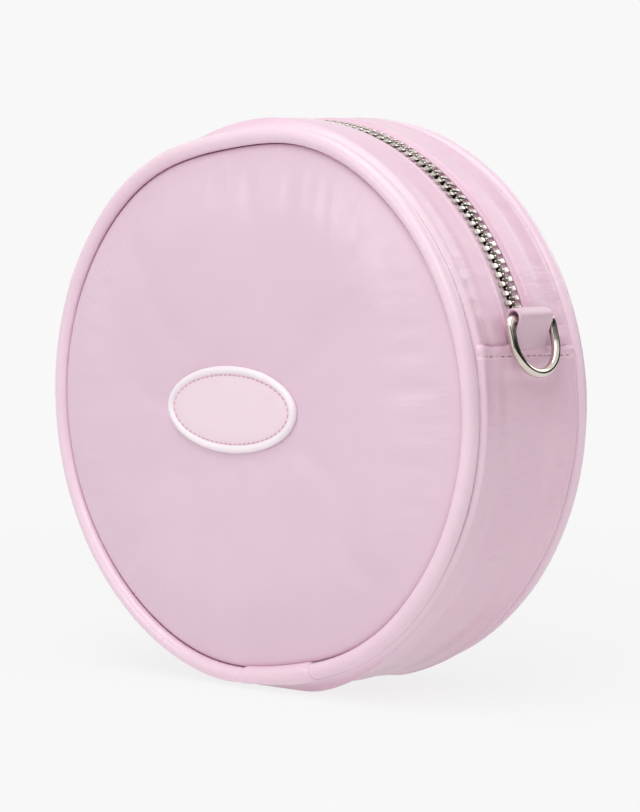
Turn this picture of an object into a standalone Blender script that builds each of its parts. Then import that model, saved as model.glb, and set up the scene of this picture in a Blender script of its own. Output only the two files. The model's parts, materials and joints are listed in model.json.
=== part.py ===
# Round belt bag in coated leather: two piped discs, a gusset with a metal zipper, two D-rings
import math

import bmesh
import bpy
from mathutils import Matrix, Vector

# Whole bag, in metres: +Z is up, the front panel faces -Y, the bag's axis runs along Y
outer_radius = 0.0950
bag_depth = 0.0615
ring_steps = 32
bottom_angle = math.radians(270)
foot_half_angle = math.radians(8.5)
side_seam_angle = math.radians(13.5)
touch_gap = 0.0003
corner_spacing_least = math.radians(0.5)
smooth_angle_limit = math.radians(40)

# Sheets that the bag is cut from
leather_thickness = 0.0010
lining_thickness = 0.0004
panel_foam_thickness = 0.0020
gusset_foam_thickness = 0.0015
binding_thickness = 0.0004

# Piped seam: bead, folded wrap and the seam allowance that points into the bag
piping_diameter = 0.0055
piping_wrap_thickness = 0.0007
bead_steps = 8
cavity_steps = 6
seam_allowance = 0.0120
binding_leg = 0.0034

# Panels
dome_rise = 0.0042
flat_share = 0.60
dome_shares = (0.78, 0.92)
dome_power = 2.5
foam_edge_margin = 0.0085
lining_turn_share = 0.25

# Gusset
shoulder_drop = 0.0006
shoulder_width = 0.0055
shoulder_rise_shares = (0.60, 1.0)
shoulder_width_shares = (0.22, 1.0)
shoulder_flat = 0.0035
gusset_slope = 0.0070
gusset_sag = 0.0010
bottom_bulge = 0.0012
fold_step = 0.0002
strip_rise = 0.0004
side_fold_rise = 0.0008
side_fold_height = 0.0100
gusset_foam_half_width = 0.0140

# Zipper: slot between the strips, tapes, teeth and stops
slot_half_width = 0.0060
hem_width = 0.0070
hem_thickness = 0.0014
tape_inner_edge = 0.0034
tape_width = 0.0090
tape_thickness = 0.0006
tooth_pitch = 0.0032
tooth_height = 0.0028
tooth_nose_length = 0.0008
tooth_overlap = 0.0006
tooth_spine_width = 0.0007
first_tooth_angle = math.radians(17.6)
stop_length = 0.0024
stop_half_width = 0.0026
top_stop_inner = 0.0015
strip_lining_margin = 0.0012

# Slider and pull
slider_angle = math.radians(152.0)
slider_length = 0.0120
slider_half_width = 0.0049
slider_plate_thickness = 0.0011
slider_rim_width = 0.0011
neck_half_width = 0.0009
neck_length = 0.0034
neck_offset = 0.0012
pull_thickness = 0.0015
pull_length = 0.0200
pull_neck_share = 0.45
pull_end_steps = 6
pull_half_width = 0.0034
pull_end_half_width = 0.0042
pull_bar = 0.0014
bridge_half_width = 0.0010
bridge_thickness = 0.0010
bridge_clearance = 0.0014
pull_window_clearance = 0.0004

# D-rings and the leather tabs that hold them
ring_wire_diameter = 0.0030
ring_inner_width = 0.0200
ring_drop = 0.0175
ring_corner_radius = 0.0018
ring_bar_angle = math.radians(17.3)
ring_lean = math.radians(14)
ring_standoff = 0.0018
ring_arc_steps = 12
ring_corner_steps = 2
tab_width = 0.0185
tab_wrap_steps = 8

# Patch on the front panel
patch_length = 0.0600
patch_height = 0.0295
patch_offset_x = -0.0065
patch_offset_z = -0.0016
patch_thickness = 0.0020
patch_rim_width = 0.0024
patch_recess = 0.0009
patch_edge_round = 0.0004
patch_inlay_thickness = 0.0004
patch_steps = 36

# Stitches
stitch_width = 0.0008
stitch_thickness = 0.0005
stitch_dip_thickness = 0.0002
seam_stitch_spacing = 0.0036
seam_stitch_inset = 0.0038
patch_stitch_inset = 0.0012
patch_stitch_spacing = 0.0036
oval_measure_steps = 720

# Mouth of the bag: the height over the bag's axis where the front starts to lean
mouth_hinge_rise = 0.0420

# Sizes that follow from the ones above
piping_radius = piping_diameter / 2
bead_radius = outer_radius - piping_radius
bead_depth = bag_depth / 2 - piping_radius
slit_half = touch_gap / 2
wrap_half = slit_half + piping_wrap_thickness
cavity_radius = piping_radius - piping_wrap_thickness
cord_radius = cavity_radius - touch_gap / math.cos(math.pi / cavity_steps)
leather_offset = wrap_half + touch_gap
lining_offset = leather_offset + leather_thickness + touch_gap
binding_offset = lining_offset + lining_thickness + touch_gap
seam_corner_along = math.sqrt((piping_radius + touch_gap) ** 2 - leather_offset ** 2)
strip_radius = outer_radius - shoulder_drop - fold_step + strip_rise
tape_radius = strip_radius - hem_thickness - touch_gap
tooth_radius = tape_radius - tape_thickness / 2
slider_sagitta = tooth_radius - math.sqrt(tooth_radius ** 2 - (slider_length / 2) ** 2)
side_sagitta = tape_radius * (1 - math.cos(math.pi / ring_steps))
top_plate_low = tooth_height / 2 + touch_gap
bottom_plate_high = -tooth_height / 2 - touch_gap - slider_sagitta
pull_pivot_rise = top_plate_low + slider_plate_thickness + bridge_clearance
tab_inner_gap = ring_standoff + leather_thickness + touch_gap
ring_bar_radius = strip_radius + tab_inner_gap + ring_wire_diameter / 2


def near_bottom(angle):
    # Angle between a place on the ring and the bag's lowest point
    return abs((angle - bottom_angle + math.pi) % (2 * math.pi) - math.pi)


def ring_angles():
    # Angles of a ring's corners: an even grid, with the foot's two corners in place of those inside it
    step = 2 * math.pi / ring_steps
    grid = [(i + 0.5) * step for i in range(ring_steps)]
    kept = [angle for angle in grid if near_bottom(angle) > foot_half_angle]
    return sorted(kept + [bottom_angle - foot_half_angle, bottom_angle + foot_half_angle])


def arc_angles(start, end):
    # Ring corners between two angles, with the two ends themselves
    turns = ring_angles() + [angle + 2 * math.pi for angle in ring_angles()]
    tiny = corner_spacing_least
    return [start] + [angle for angle in turns if start + tiny < angle < end - tiny] + [end]


def side_share(angle):
    # Radius of a many-sided ring at an angle, as a share of the radius at its corners
    turns = ring_angles()
    turns = [turns[-1] - 2 * math.pi] + turns + [turns[0] + 2 * math.pi]
    place = angle % (2 * math.pi)
    before = max(turn for turn in turns if turn <= place)
    after = min(turn for turn in turns if turn > place)
    return math.cos((after - before) / 2) / math.cos(place - (before + after) / 2)


def on_ring(radius, depth, angle):
    # Point of a many-sided ring about the bag's axis; positive depths lie toward the front
    reach = radius * side_share(angle)
    return Vector((reach * math.cos(angle), -depth, reach * math.sin(angle)))


def bottom_weight(angle):
    # One over the foot, fading to nothing an eighth of a turn beyond it
    return math.cos(2 * min(max(near_bottom(angle) - foot_half_angle, 0), math.pi / 4)) ** 2


def shoulder_radius(angle):
    return outer_radius - shoulder_drop + bottom_bulge * bottom_weight(angle)


def middle_radius(angle):
    return shoulder_radius(angle) - gusset_sag * (1 - bottom_weight(angle))


def side_fold(angle):
    # How far the lower gusset's folded end stands over its own surface at this angle
    low_end = math.pi - side_seam_angle
    off_end = min(abs(angle - low_end), abs(angle - 2 * math.pi - side_seam_angle)) * outer_radius
    return side_fold_rise * max(0.0, 1 - off_end / side_fold_height)


centre_height = shoulder_radius(bottom_angle + foot_half_angle) * math.cos(foot_half_angle)
centre = Vector((0, 0, centre_height))


def seam_point(along, across):
    # Radius and depth of a point in the piped seam, which slants into the bag from the bead
    slant = math.sqrt(0.5)
    return (bead_radius + slant * (across - along), bead_depth - slant * (along + across))


def offset_path(path, distance):
    # Parallel copy of an open path, moved to the right-hand side of its direction, with mitred corners
    points = [Vector(point) for point in path]
    sides = [(b - a).normalized() for a, b in zip(points, points[1:])]
    normals = [Vector((side.y, -side.x)) for side in sides]
    moved = []
    for i, point in enumerate(points):
        before = normals[max(i - 1, 0)]
        after = normals[min(i, len(normals) - 1)]
        mitre = (before + after) / (1 + before.dot(after))
        moved.append(tuple(point + mitre * distance))
    return moved


def sheet(path, thickness):
    # Closed outline of a sheet that follows a path
    return list(path) + offset_path(path, thickness)[::-1]


def mirrored(path):
    # A path that runs on to the other side of the bag's middle plane
    return list(path) + [(radius, -depth) for radius, depth in reversed(path)]


def make_material(name, color, roughness, metallic=0.0):
    material = bpy.data.materials.new(name)
    material.use_nodes = True
    shader = material.node_tree.nodes["Principled BSDF"]
    shader.inputs["Base Color"].default_value = (*color, 1)
    shader.inputs["Roughness"].default_value = roughness
    shader.inputs["Metallic"].default_value = metallic
    return material


def add_object(name, data, look):
    # Object in the bag's collection, with a material of its own
    data.materials.append(make_material(name + "_finish", *looks[look]))
    thing = bpy.data.objects.new(name, data)
    parts.objects.link(thing)
    return thing


def add_mesh(name, bm, look, place=None):
    # Mesh object from a finished bmesh, its faces pointing out and its round sides shaded smooth
    bmesh.ops.recalc_face_normals(bm, faces=bm.faces)
    mesh = bpy.data.meshes.new(name)
    bm.to_mesh(mesh)
    bm.free()
    mesh.shade_smooth()
    mesh.set_sharp_from_angle(angle=smooth_angle_limit)
    thing = add_object(name, mesh, look)
    thing.matrix_world = Matrix.Translation(centre) if place is None else place
    return thing


def skin(loops, closed=False):
    # Loft: faces between neighbouring loops of as many points, closed on itself or capped at both ends
    bm = bmesh.new()
    rows = [[bm.verts.new(point) for point in loop] for loop in loops]
    pairs = list(zip(rows, rows[1:]))
    if closed:
        pairs.append((rows[-1], rows[0]))
    else:
        bm.faces.new(rows[0])
        bm.faces.new(rows[-1])
    for row, after in pairs:
        for i in range(len(row)):
            j = (i + 1) % len(row)
            bm.faces.new((row[i], row[j], after[j], after[i]))
    return bm


def ring_piece(name, outline, side, look):
    # Closed outline carried all the way round the bag's axis
    loops = [[on_ring(r, side * d, angle) for r, d in outline] for angle in ring_angles()]
    return add_mesh(name, skin(loops, closed=True), look)


def disc_piece(name, outline, side, look):
    # Open outline turned about the bag's axis, with a flat disc at each end of it
    loops = [[on_ring(r, side * d, angle) for angle in ring_angles()] for r, d in outline]
    return add_mesh(name, skin(loops), look)


def arc_piece(name, outline_at, start, end, side, look, place=None):
    # Outline carried along part of the gusset; it may change with the angle
    loops = [[on_ring(r, side * d, angle) for r, d in outline_at(angle)]
             for angle in arc_angles(start, end)]
    return add_mesh(name, skin(loops), look, place)


def panel_path():
    # Outer surface of a panel: flat middle, dome, seam corner and the end of the seam allowance
    corner_radius, corner_depth = seam_point(seam_corner_along, -leather_offset)
    points = [(corner_radius * flat_share, corner_depth + dome_rise)]
    for share in dome_shares:
        fall = ((share - flat_share) / (1 - flat_share)) ** dome_power
        points.append((corner_radius * share, corner_depth + dome_rise * (1 - fall)))
    points.append((corner_radius, corner_depth))
    points.append(seam_point(seam_allowance, -leather_offset))
    return points


def make_panel(name, side):
    return disc_piece(name, sheet(panel_path(), leather_thickness), side, "leather")


def foam_edge_radius():
    return seam_point(seam_corner_along, -leather_offset)[0] - foam_edge_margin


def dome_part(distance):
    # The panel's dome out to the foam's edge, at a distance under the outer surface
    under = offset_path(panel_path()[:-1], distance)
    kept = [point for point in under if point[0] < foam_edge_radius()]
    beyond = [point for point in under if point[0] >= foam_edge_radius()][0]
    share = (foam_edge_radius() - kept[-1][0]) / (beyond[0] - kept[-1][0])
    return kept + [(foam_edge_radius(), kept[-1][1] + (beyond[1] - kept[-1][1]) * share)]


def make_stiffener(name, side):
    top = dome_part(leather_thickness + touch_gap)
    low = dome_part(leather_thickness + touch_gap + panel_foam_thickness)
    return disc_piece(name, top + low[::-1], side, "foam")


def make_panel_lining(name, side):
    under_foam = leather_thickness + panel_foam_thickness + 2 * touch_gap
    dome = dome_part(under_foam)
    corner, end = offset_path(panel_path(), leather_thickness + touch_gap)[-2:]
    turn = tuple(Vector(corner).lerp(Vector(end), lining_turn_share))
    path = [dome[0], dome[-1], turn, end]
    return disc_piece(name, sheet(path, lining_thickness), side, "lining")


def bead_arc(radius, flank, steps):
    # Points round the bead from one flank of its flange to the other, past its outer side
    start = math.asin(flank / radius)
    sweep = 2 * math.pi - 2 * start
    turns = [start + sweep * i / steps for i in range(steps + 1)]
    return [(radius * math.cos(turn), -radius * math.sin(turn)) for turn in turns]


def make_piping(name, side):
    # Wrap: a strip folded round the cord, with a slit between its two layers in the seam allowance
    outside = [(seam_allowance, -wrap_half)] + bead_arc(piping_radius, wrap_half, bead_steps)
    outside.append((seam_allowance, wrap_half))
    inside = [(seam_allowance, slit_half)] + bead_arc(cavity_radius, slit_half, cavity_steps)[::-1]
    inside.append((seam_allowance, -slit_half))
    outline = [seam_point(along, across) for along, across in outside + inside]
    ring_piece(name + "_wrap", outline, side, "leather")
    cord = [(math.cos(turn), math.sin(turn)) for turn in cord_turns()]
    ring_piece(name + "_cord", [seam_point(cord_radius * a, cord_radius * b) for a, b in cord],
               side, "cord")


def cord_turns():
    # Corners of the cord, facing the corners of the cavity that it lies in
    return [2 * math.pi * i / cavity_steps for i in range(cavity_steps)]


def make_binding(name, side):
    # Tape folded over the raw edges of the seam
    end = seam_allowance + touch_gap
    fold = [(end - binding_leg, binding_offset), (end, binding_offset),
            (end, -binding_offset), (end - binding_leg, -binding_offset)]
    path = [seam_point(along, across) for along, across in fold]
    return ring_piece(name, sheet(path, -binding_thickness), side, "binding")


def gusset_half_path(crest, middle):
    # Outer surface of the gusset from the seam allowance's end to past its shoulder roll
    corner_radius, corner_depth = seam_point(seam_corner_along, leather_offset)
    points = [seam_point(seam_allowance, leather_offset), (corner_radius, corner_depth)]
    for rise_share, width_share in zip(shoulder_rise_shares, shoulder_width_shares):
        points.append((corner_radius + (crest - corner_radius) * rise_share,
                       corner_depth - shoulder_width * width_share))
    crest_end = corner_depth - shoulder_width - shoulder_flat
    points.append((crest, crest_end))
    points.append((middle, crest_end - gusset_slope))
    return points


def lower_gusset_outline(angle):
    # Near its folded ends the band is thicker on the outside only
    fold = side_fold(angle)
    outer = gusset_half_path(shoulder_radius(angle) + fold, middle_radius(angle) + fold)
    plain = gusset_half_path(shoulder_radius(angle), middle_radius(angle))
    return mirrored(outer) + offset_path(mirrored(plain), leather_thickness)[::-1]


def gusset_foam_outline(angle):
    top = middle_radius(angle) - leather_thickness - touch_gap
    low = top - gusset_foam_thickness
    half = gusset_foam_half_width
    return [(top, half), (top, -half), (low, -half), (low, half)]


def gusset_lining_outline(angle):
    path = gusset_half_path(shoulder_radius(angle), middle_radius(angle))
    seam = offset_path(path, leather_thickness + touch_gap)[:2]
    under_foam = leather_thickness + gusset_foam_thickness + 2 * touch_gap
    level = (middle_radius(angle) - under_foam, gusset_foam_half_width + touch_gap)
    return sheet(mirrored(seam + [level]), lining_thickness)


def make_lower_gusset():
    # The band from side seam to side seam round the bottom, with its foam and lining
    gap_angle = touch_gap / strip_radius
    start = math.pi - side_seam_angle + gap_angle
    end = 2 * math.pi + side_seam_angle - gap_angle
    arc_piece("lower_gusset", lower_gusset_outline, start, end, 1, "leather")
    arc_piece("lower_gusset_lining", gusset_lining_outline, start, end, 1, "lining")
    foam_end = side_fold_height / strip_radius
    arc_piece("lower_gusset_foam", gusset_foam_outline, start + foam_end, end - foam_end, 1, "foam")


def strip_outline(angle):
    # Zip strip: seam allowance, shoulder, and a level part over its hem at the slot
    hem_end = slot_half_width + hem_width
    path = gusset_half_path(shoulder_radius(angle) - fold_step, strip_radius)[:-2]
    path += [(strip_radius, hem_end), (strip_radius, slot_half_width)]
    under = offset_path(path, leather_thickness)[:-1]
    hem_radius = strip_radius - hem_thickness
    return path + [(hem_radius, slot_half_width), (hem_radius, hem_end)] + under[::-1]


def strip_lining_outline(angle):
    path = gusset_half_path(shoulder_radius(angle) - fold_step, strip_radius)
    seam = offset_path(path, leather_thickness + touch_gap)[:2]
    level = tape_radius - tape_thickness - touch_gap
    outer = tape_inner_edge + tape_width + strip_lining_margin
    inner = slot_half_width + strip_lining_margin
    return sheet(seam + [(level, outer), (level, inner)], lining_thickness)


def tape_outline(angle):
    # Zipper tape under the hem, from near the teeth to just past the hem's stitching
    low = tape_radius - tape_thickness
    outer = tape_inner_edge + tape_width
    return [(tape_radius, tape_inner_edge), (tape_radius, outer), (low, outer), (low, tape_inner_edge)]


def on_arc(angle, radius):
    # Frame on the gusset: X along the zipper to the left end, Y to the front, Z straight out
    along = Vector((-math.sin(angle), 0, math.cos(angle)))
    out = Vector((math.cos(angle), 0, math.sin(angle)))
    turn = Matrix((along, Vector((0, -1, 0)), out)).transposed().to_4x4()
    return Matrix.Translation(centre + out * radius) @ turn


def add_block(bm, low, high, frame=None):
    # Box between two corners, placed by a frame
    low, high = Vector(low), Vector(high)
    size = Matrix.Diagonal((*(high - low), 1))
    spot = Matrix.Translation((low + high) / 2) @ size
    made = bmesh.ops.create_cube(bm, size=1, matrix=spot)["verts"]
    if frame is not None:
        bmesh.ops.transform(bm, matrix=frame, verts=made)
    return made


def tooth_section(angle, side, inner):
    # Section of a tooth row: from the tape's edge to a depth of its own
    half = tooth_height / 2
    back = tape_inner_edge - touch_gap
    corners = [(half, back), (half, inner), (-half, inner), (-half, back)]
    frame = on_arc(angle, tooth_radius)
    return [frame @ Vector((0, side * across, out)) for out, across in corners]


def tooth_angle(index, side):
    # The rear row is half a pitch on from the front row, so that the two mesh
    shift = 0.0 if side > 0 else 0.5
    return first_tooth_angle + (index + shift) * tooth_pitch / tooth_radius


def tooth_count():
    return int((slider_angle - first_tooth_angle) * tooth_radius / tooth_pitch) + 1


def make_teeth(name, side):
    # Row of metal teeth: each narrows to a nose just past the zipper's middle line
    root = tape_inner_edge - touch_gap - tooth_spine_width
    half_nose = tooth_nose_length / tooth_radius / 2
    loops = [tooth_section(tooth_angle(-0.5, side), side, root)]
    for i in range(tooth_count()):
        for turn in (-half_nose, half_nose):
            loops.append(tooth_section(tooth_angle(i, side) + turn, side, -tooth_overlap))
        loops.append(tooth_section(tooth_angle(i + 0.5, side), side, root))
    return add_mesh(name + "_teeth", skin(loops), "metal", Matrix.Identity(4))


def make_stop(name, angle, inner, outer):
    # Small metal clamp on the zipper
    bm = bmesh.new()
    half = Vector((stop_length, 0, tooth_height)) / 2
    add_block(bm, Vector((0, inner, 0)) - half, Vector((0, outer, 0)) + half)
    return add_mesh(name, bm, "metal", on_arc(angle, tooth_radius))


def make_zip_side(name, side, axis):
    # Strip, its lining, tape, row of teeth and top stop on one side of the zipper
    gap_angle = touch_gap / strip_radius
    start = side_seam_angle + gap_angle
    end = math.pi - side_seam_angle - gap_angle
    strip = arc_piece(name + "_zip_strip", strip_outline, start, end, side, "leather")
    lining = arc_piece(name + "_strip_lining", strip_lining_outline, start, end, side, "lining")
    tape = arc_piece(name + "_zip_tape", tape_outline, start, end, side, "tape")
    teeth = make_teeth(name, side)
    edges = sorted((side * top_stop_inner, side * stop_half_width))
    make_stop(name + "_top_stop", tooth_angle(tooth_count(), side), *edges)
    if axis is not None:
        for piece in (strip, lining, tape, teeth):
            keep_place(piece, axis)


def keep_place(piece, parent):
    # Parenting that leaves the piece where it is
    place = piece.matrix_world.copy()
    piece.parent = parent
    piece.matrix_parent_inverse = parent.matrix_world.inverted()
    piece.matrix_world = place


def add_empty(name, place):
    empty = bpy.data.objects.new(name, None)
    empty.matrix_world = place
    parts.objects.link(empty)
    bpy.context.view_layer.update()
    return empty


def join_block(target, low, high):
    # Adds a box, given in the target's frame, to the target by a Boolean union
    bm = bmesh.new()
    add_block(bm, low, high)
    mesh = bpy.data.meshes.new(target.name + "_block")
    bm.to_mesh(mesh)
    bm.free()
    block = bpy.data.objects.new(mesh.name, mesh)
    block.matrix_world = target.matrix_world
    block.hide_render = True
    block.display_type = "WIRE"
    cutters.objects.link(block)
    union = target.modifiers.new(mesh.name, "BOOLEAN")
    union.operation = "UNION"
    union.object = block


def make_slider(axis):
    # Slider: two plates with rims round the teeth, a neck between them and a bridge for the pull
    long = slider_length / 2
    wide = slider_half_width
    top = top_plate_low + slider_plate_thickness
    low = bottom_plate_high - slider_plate_thickness
    rim_low = tape_thickness / 2 + touch_gap
    rim_high = -tape_thickness / 2 - touch_gap - slider_sagitta - side_sagitta
    bm = bmesh.new()
    add_block(bm, (-long, -wide, top_plate_low), (long, wide, top))
    slider = add_mesh("slider", bm, "metal", on_arc(slider_angle, tooth_radius))
    bpy.context.view_layer.update()
    join_block(slider, (-long, -wide, low), (long, wide, bottom_plate_high))
    sink = slider_plate_thickness / 2
    for side in (-1, 1):
        edges = sorted((side * wide, side * (wide - slider_rim_width)))
        join_block(slider, (-long, edges[0], rim_low), (long, edges[1], top - sink))
        join_block(slider, (-long, edges[0], low + sink), (long, edges[1], rim_high))
    join_block(slider, (neck_offset, -neck_half_width, low + sink),
               (neck_offset + neck_length, neck_half_width, top - sink))
    make_bridge(slider, top - sink)
    keep_place(slider, axis)
    return slider


def make_bridge(slider, foot):
    # Two posts and a bar over the pull's own bar
    inner = bridge_clearance + touch_gap
    outer = inner + bridge_thickness
    wide = bridge_half_width
    bar_low = pull_pivot_rise + bridge_clearance
    bar_high = bar_low + bridge_thickness
    for side in (-1, 1):
        ends = sorted((side * inner, side * outer))
        join_block(slider, (ends[0], -wide, foot), (ends[1], wide, bar_high - bridge_thickness / 2))
    join_block(slider, (-outer, -wide, bar_low), (outer, wide, bar_high))


def pull_outline():
    # Pull tab seen from above, in its own frame: the pivot at zero, its free end at +X
    start = -pull_bar / 2
    neck = pull_length * pull_neck_share
    tip = pull_end_half_width
    turns = [math.pi / 2 - math.pi * i / pull_end_steps for i in range(pull_end_steps + 1)]
    points = [(start, pull_half_width), (neck, pull_half_width)]
    points += [(pull_length - tip + tip * math.cos(turn), tip * math.sin(turn)) for turn in turns]
    points += [(neck, -pull_half_width), (start, -pull_half_width)]
    return points


def pull_window():
    # Opening that the bridge stands in
    reach = math.hypot(bridge_clearance + touch_gap + bridge_thickness,
                       bridge_clearance + bridge_thickness) + pull_window_clearance
    wide = bridge_half_width + pull_window_clearance
    return [(pull_bar / 2, wide), (reach, wide), (reach, -wide), (pull_bar / 2, -wide)]


def pull_lift():
    # Angle between the zipper and the pull tab where it lies on the left ring tab
    turn = math.pi - ring_bar_angle - slider_angle
    ahead = ring_bar_radius * math.sin(turn)
    above = ring_bar_radius * math.cos(turn) - tooth_radius - pull_pivot_rise
    reach = ring_wire_diameter / 2 + leather_thickness + 2 * touch_gap + pull_thickness / 2
    return math.atan2(above, ahead) + math.asin(reach / math.hypot(above, ahead))


def add_outline(curve, points):
    spline = curve.splines.new("POLY")
    spline.points.add(len(points) - 1)
    for spot, (x, y) in zip(spline.points, points):
        spot.co = (x, y, 0, 1)
    spline.use_cyclic_u = True


def add_plate(name, outlines, thickness, look, place):
    # Flat piece cut from a sheet: outlines in its own XY plane, inner ones being holes
    curve = bpy.data.curves.new(name, "CURVE")
    curve.dimensions = "2D"
    curve.fill_mode = "BOTH"
    curve.extrude = thickness / 2
    for points in outlines:
        add_outline(curve, points)
    plate = add_object(name, curve, look)
    plate.matrix_world = place
    return plate


def make_pull(slider):
    # Pull tab on the slider's bridge, lying on the tab of the left ring
    place = on_arc(slider_angle, tooth_radius + pull_pivot_rise) @ Matrix.Rotation(-pull_lift(), 4, "Y")
    pull = add_plate("pull_tab", [pull_outline(), pull_window()], pull_thickness, "metal", place)
    keep_place(pull, slider)


def tab_path():
    # Bar side of a ring tab, from the seam under the bar, round the bar and back over it
    start = side_seam_angle + 2 * touch_gap / strip_radius
    inner = strip_radius + touch_gap + leather_thickness
    wrap = (ring_wire_diameter / 2 + touch_gap) / math.cos(math.pi / tab_wrap_steps / 2)
    bar = Vector(polar(ring_bar_radius, ring_bar_angle))
    ends = [polar(inner, start), polar(inner + touch_gap, start)]
    first = tangent_turn(bar, ends[0], wrap, -1) + 2 * math.pi
    last = tangent_turn(bar, ends[1], wrap, 1)
    turns = [first + (last - first) * i / tab_wrap_steps for i in range(tab_wrap_steps + 1)]
    return [ends[0]] + [tuple(bar + Vector(polar(wrap, turn))) for turn in turns] + [ends[1]]


def tangent_turn(middle, spot, radius, hand):
    # Direction from a circle's middle to where a line from a spot touches the circle, on one hand
    toward = Vector(spot) - middle
    return math.atan2(toward.y, toward.x) + hand * math.acos(radius / toward.length)


def polar(radius, angle):
    return (radius * math.cos(angle), radius * math.sin(angle))


def make_ring_tab(name, side):
    # Leather loop, drawn in the XZ plane and as wide as the ring allows
    outline = sheet(tab_path(), -leather_thickness)
    points = [(side * x, z) for x, z in outline]
    place = Matrix.Translation(centre) @ Matrix.Rotation(math.pi / 2, 4, "X")
    return add_plate(name, [points], tab_width, "leather", place)


def ring_points():
    # Wire centre of a D-ring in its own frame: bar along Y at zero, straight legs and a round bow to -Z
    half = (ring_inner_width + ring_wire_diameter) / 2
    round_off = ring_corner_radius
    corner = [(half - round_off + round_off * math.sin(turn), round_off * math.cos(turn) - round_off)
              for turn in (math.pi / 2 * i / ring_corner_steps for i in range(ring_corner_steps + 1))]
    bow = [(half * math.cos(turn), half - ring_drop - half * math.sin(turn))
           for turn in (math.pi * i / ring_arc_steps for i in range(ring_arc_steps + 1))]
    back = [(-y, z) for y, z in reversed(corner)]
    return corner + bow + back


def make_ring(name, side):
    curve = bpy.data.curves.new(name, "CURVE")
    curve.dimensions = "3D"
    curve.bevel_depth = ring_wire_diameter / 2
    curve.bevel_resolution = 2
    spline = curve.splines.new("POLY")
    points = ring_points()
    spline.points.add(len(points) - 1)
    for spot, (y, z) in zip(spline.points, points):
        spot.co = (0, y, z, 1)
    spline.use_cyclic_u = True
    ring = add_object(name, curve, "metal")
    x, z = polar(ring_bar_radius, ring_bar_angle)
    place = Matrix.Translation(centre + Vector((side * x, 0, z)))
    ring.matrix_world = place @ Matrix.Rotation(-side * ring_lean, 4, "Y")


def ellipse(long, high, steps):
    turns = [2 * math.pi * i / steps for i in range(steps)]
    return [(long * math.cos(turn), high * math.sin(turn)) for turn in turns]


def patch_loop(inset, height):
    # Ellipse of the patch, drawn in from its edge, at a height over the panel
    base = panel_path()[0][1] + touch_gap
    oval = ellipse(patch_length / 2 - inset, patch_height / 2 - inset, patch_steps)
    return [Vector((patch_offset_x + x, -(base + height), patch_offset_z + z)) for x, z in oval]


def make_patch():
    # Moulded rubber plate with a raised rim, and the coloured field poured into its recess
    rim_top = patch_thickness
    floor = patch_thickness - patch_recess
    side = patch_edge_round
    rim = patch_rim_width
    loops = [patch_loop(0, 0), patch_loop(0, rim_top - side), patch_loop(side, rim_top),
             patch_loop(rim - side, rim_top), patch_loop(rim, rim_top - side), patch_loop(rim, floor)]
    add_mesh("patch_plate", skin(loops), "rubber")
    field = rim + touch_gap
    low = floor + touch_gap
    loops = [patch_loop(field, low), patch_loop(field, low + patch_inlay_thickness)]
    add_mesh("patch_field", skin(loops), "field")


def even_oval(long, high, spacing):
    # Places and directions along an ellipse, two of them for each stitch
    fine = [Vector(point) for point in ellipse(long, high, oval_measure_steps)]
    lengths = [(b - a).length for a, b in zip(fine, fine[1:] + fine[:1])]
    count = 2 * round(sum(lengths) / spacing)
    wanted = [sum(lengths) * i / count for i in range(count)]
    places = []
    run = 0.0
    for i, length in enumerate(lengths):
        while wanted and run + length > wanted[0]:
            places.append((fine[i], (fine[(i + 1) % len(fine)] - fine[i]).normalized()))
            wanted.pop(0)
        run += length
    return places


def make_patch_stitches():
    # Ring of stitches on the field, just inside the rim
    inset = patch_rim_width + touch_gap + patch_stitch_inset
    over = panel_path()[0][1] + 3 * touch_gap + patch_thickness - patch_recess + patch_inlay_thickness
    long, high = patch_length / 2 - inset, patch_height / 2 - inset
    loops = []
    for i, (spot, way) in enumerate(even_oval(long, high, patch_stitch_spacing)):
        place = Vector((patch_offset_x + spot.x, -over, patch_offset_z + spot.y))
        aside = Vector((-way.y, 0, way.x))
        loops.append(thread_section(place, aside, Vector((0, -1, 0)), i))
    add_mesh("patch_stitches", skin(loops, closed=True), "thread")


def thread_section(place, aside, out, index):
    # Section of a sewn thread on a surface: full at each stitch, thin where it dips between two
    height = stitch_dip_thickness if index % 2 else stitch_thickness
    return [place - aside * stitch_width / 2, place + aside * stitch_width / 2, place + out * height]


def make_seam_stitches(name, angle):
    # Topstitching through a folded end of the lower gusset, from one shoulder to the other
    half_run = bead_depth - piping_radius - shoulder_width
    count = 2 * int(2 * half_run / seam_stitch_spacing) + 1
    aside = Vector((-math.sin(angle), 0, math.cos(angle)))
    out = Vector((math.cos(angle), 0, math.sin(angle)))
    loops = []
    for i in range(count):
        across = (i - (count - 1) / 2) * seam_stitch_spacing / 2
        place = on_ring(gusset_surface(angle, across), across, angle) + out * touch_gap
        loops.append(thread_section(place, aside, out, i + 1))
    add_mesh(name, skin(loops), "thread")


def gusset_surface(angle, across):
    # Radius of the lower gusset's outer surface at this angle and depth
    fold = side_fold(angle)
    crest, middle = gusset_half_path(shoulder_radius(angle) + fold, middle_radius(angle) + fold)[-2:]
    share = (abs(across) - middle[1]) / (crest[1] - middle[1])
    return middle[0] + (crest[0] - middle[0]) * min(1.0, max(0.0, share))


looks = {
    "leather": ((0.78, 0.56, 0.67), 0.35),
    "lining": ((0.80, 0.66, 0.72), 0.80),
    "foam": ((0.85, 0.84, 0.82), 0.95),
    "cord": ((0.80, 0.79, 0.77), 0.60),
    "binding": ((0.76, 0.56, 0.66), 0.85),
    "tape": ((0.80, 0.56, 0.66), 0.80),
    "metal": ((0.72, 0.69, 0.66), 0.22, 1.0),
    "rubber": ((0.88, 0.80, 0.83), 0.45),
    "field": ((0.82, 0.58, 0.68), 0.50),
    "thread": ((0.35, 0.17, 0.24), 0.70),
}

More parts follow.
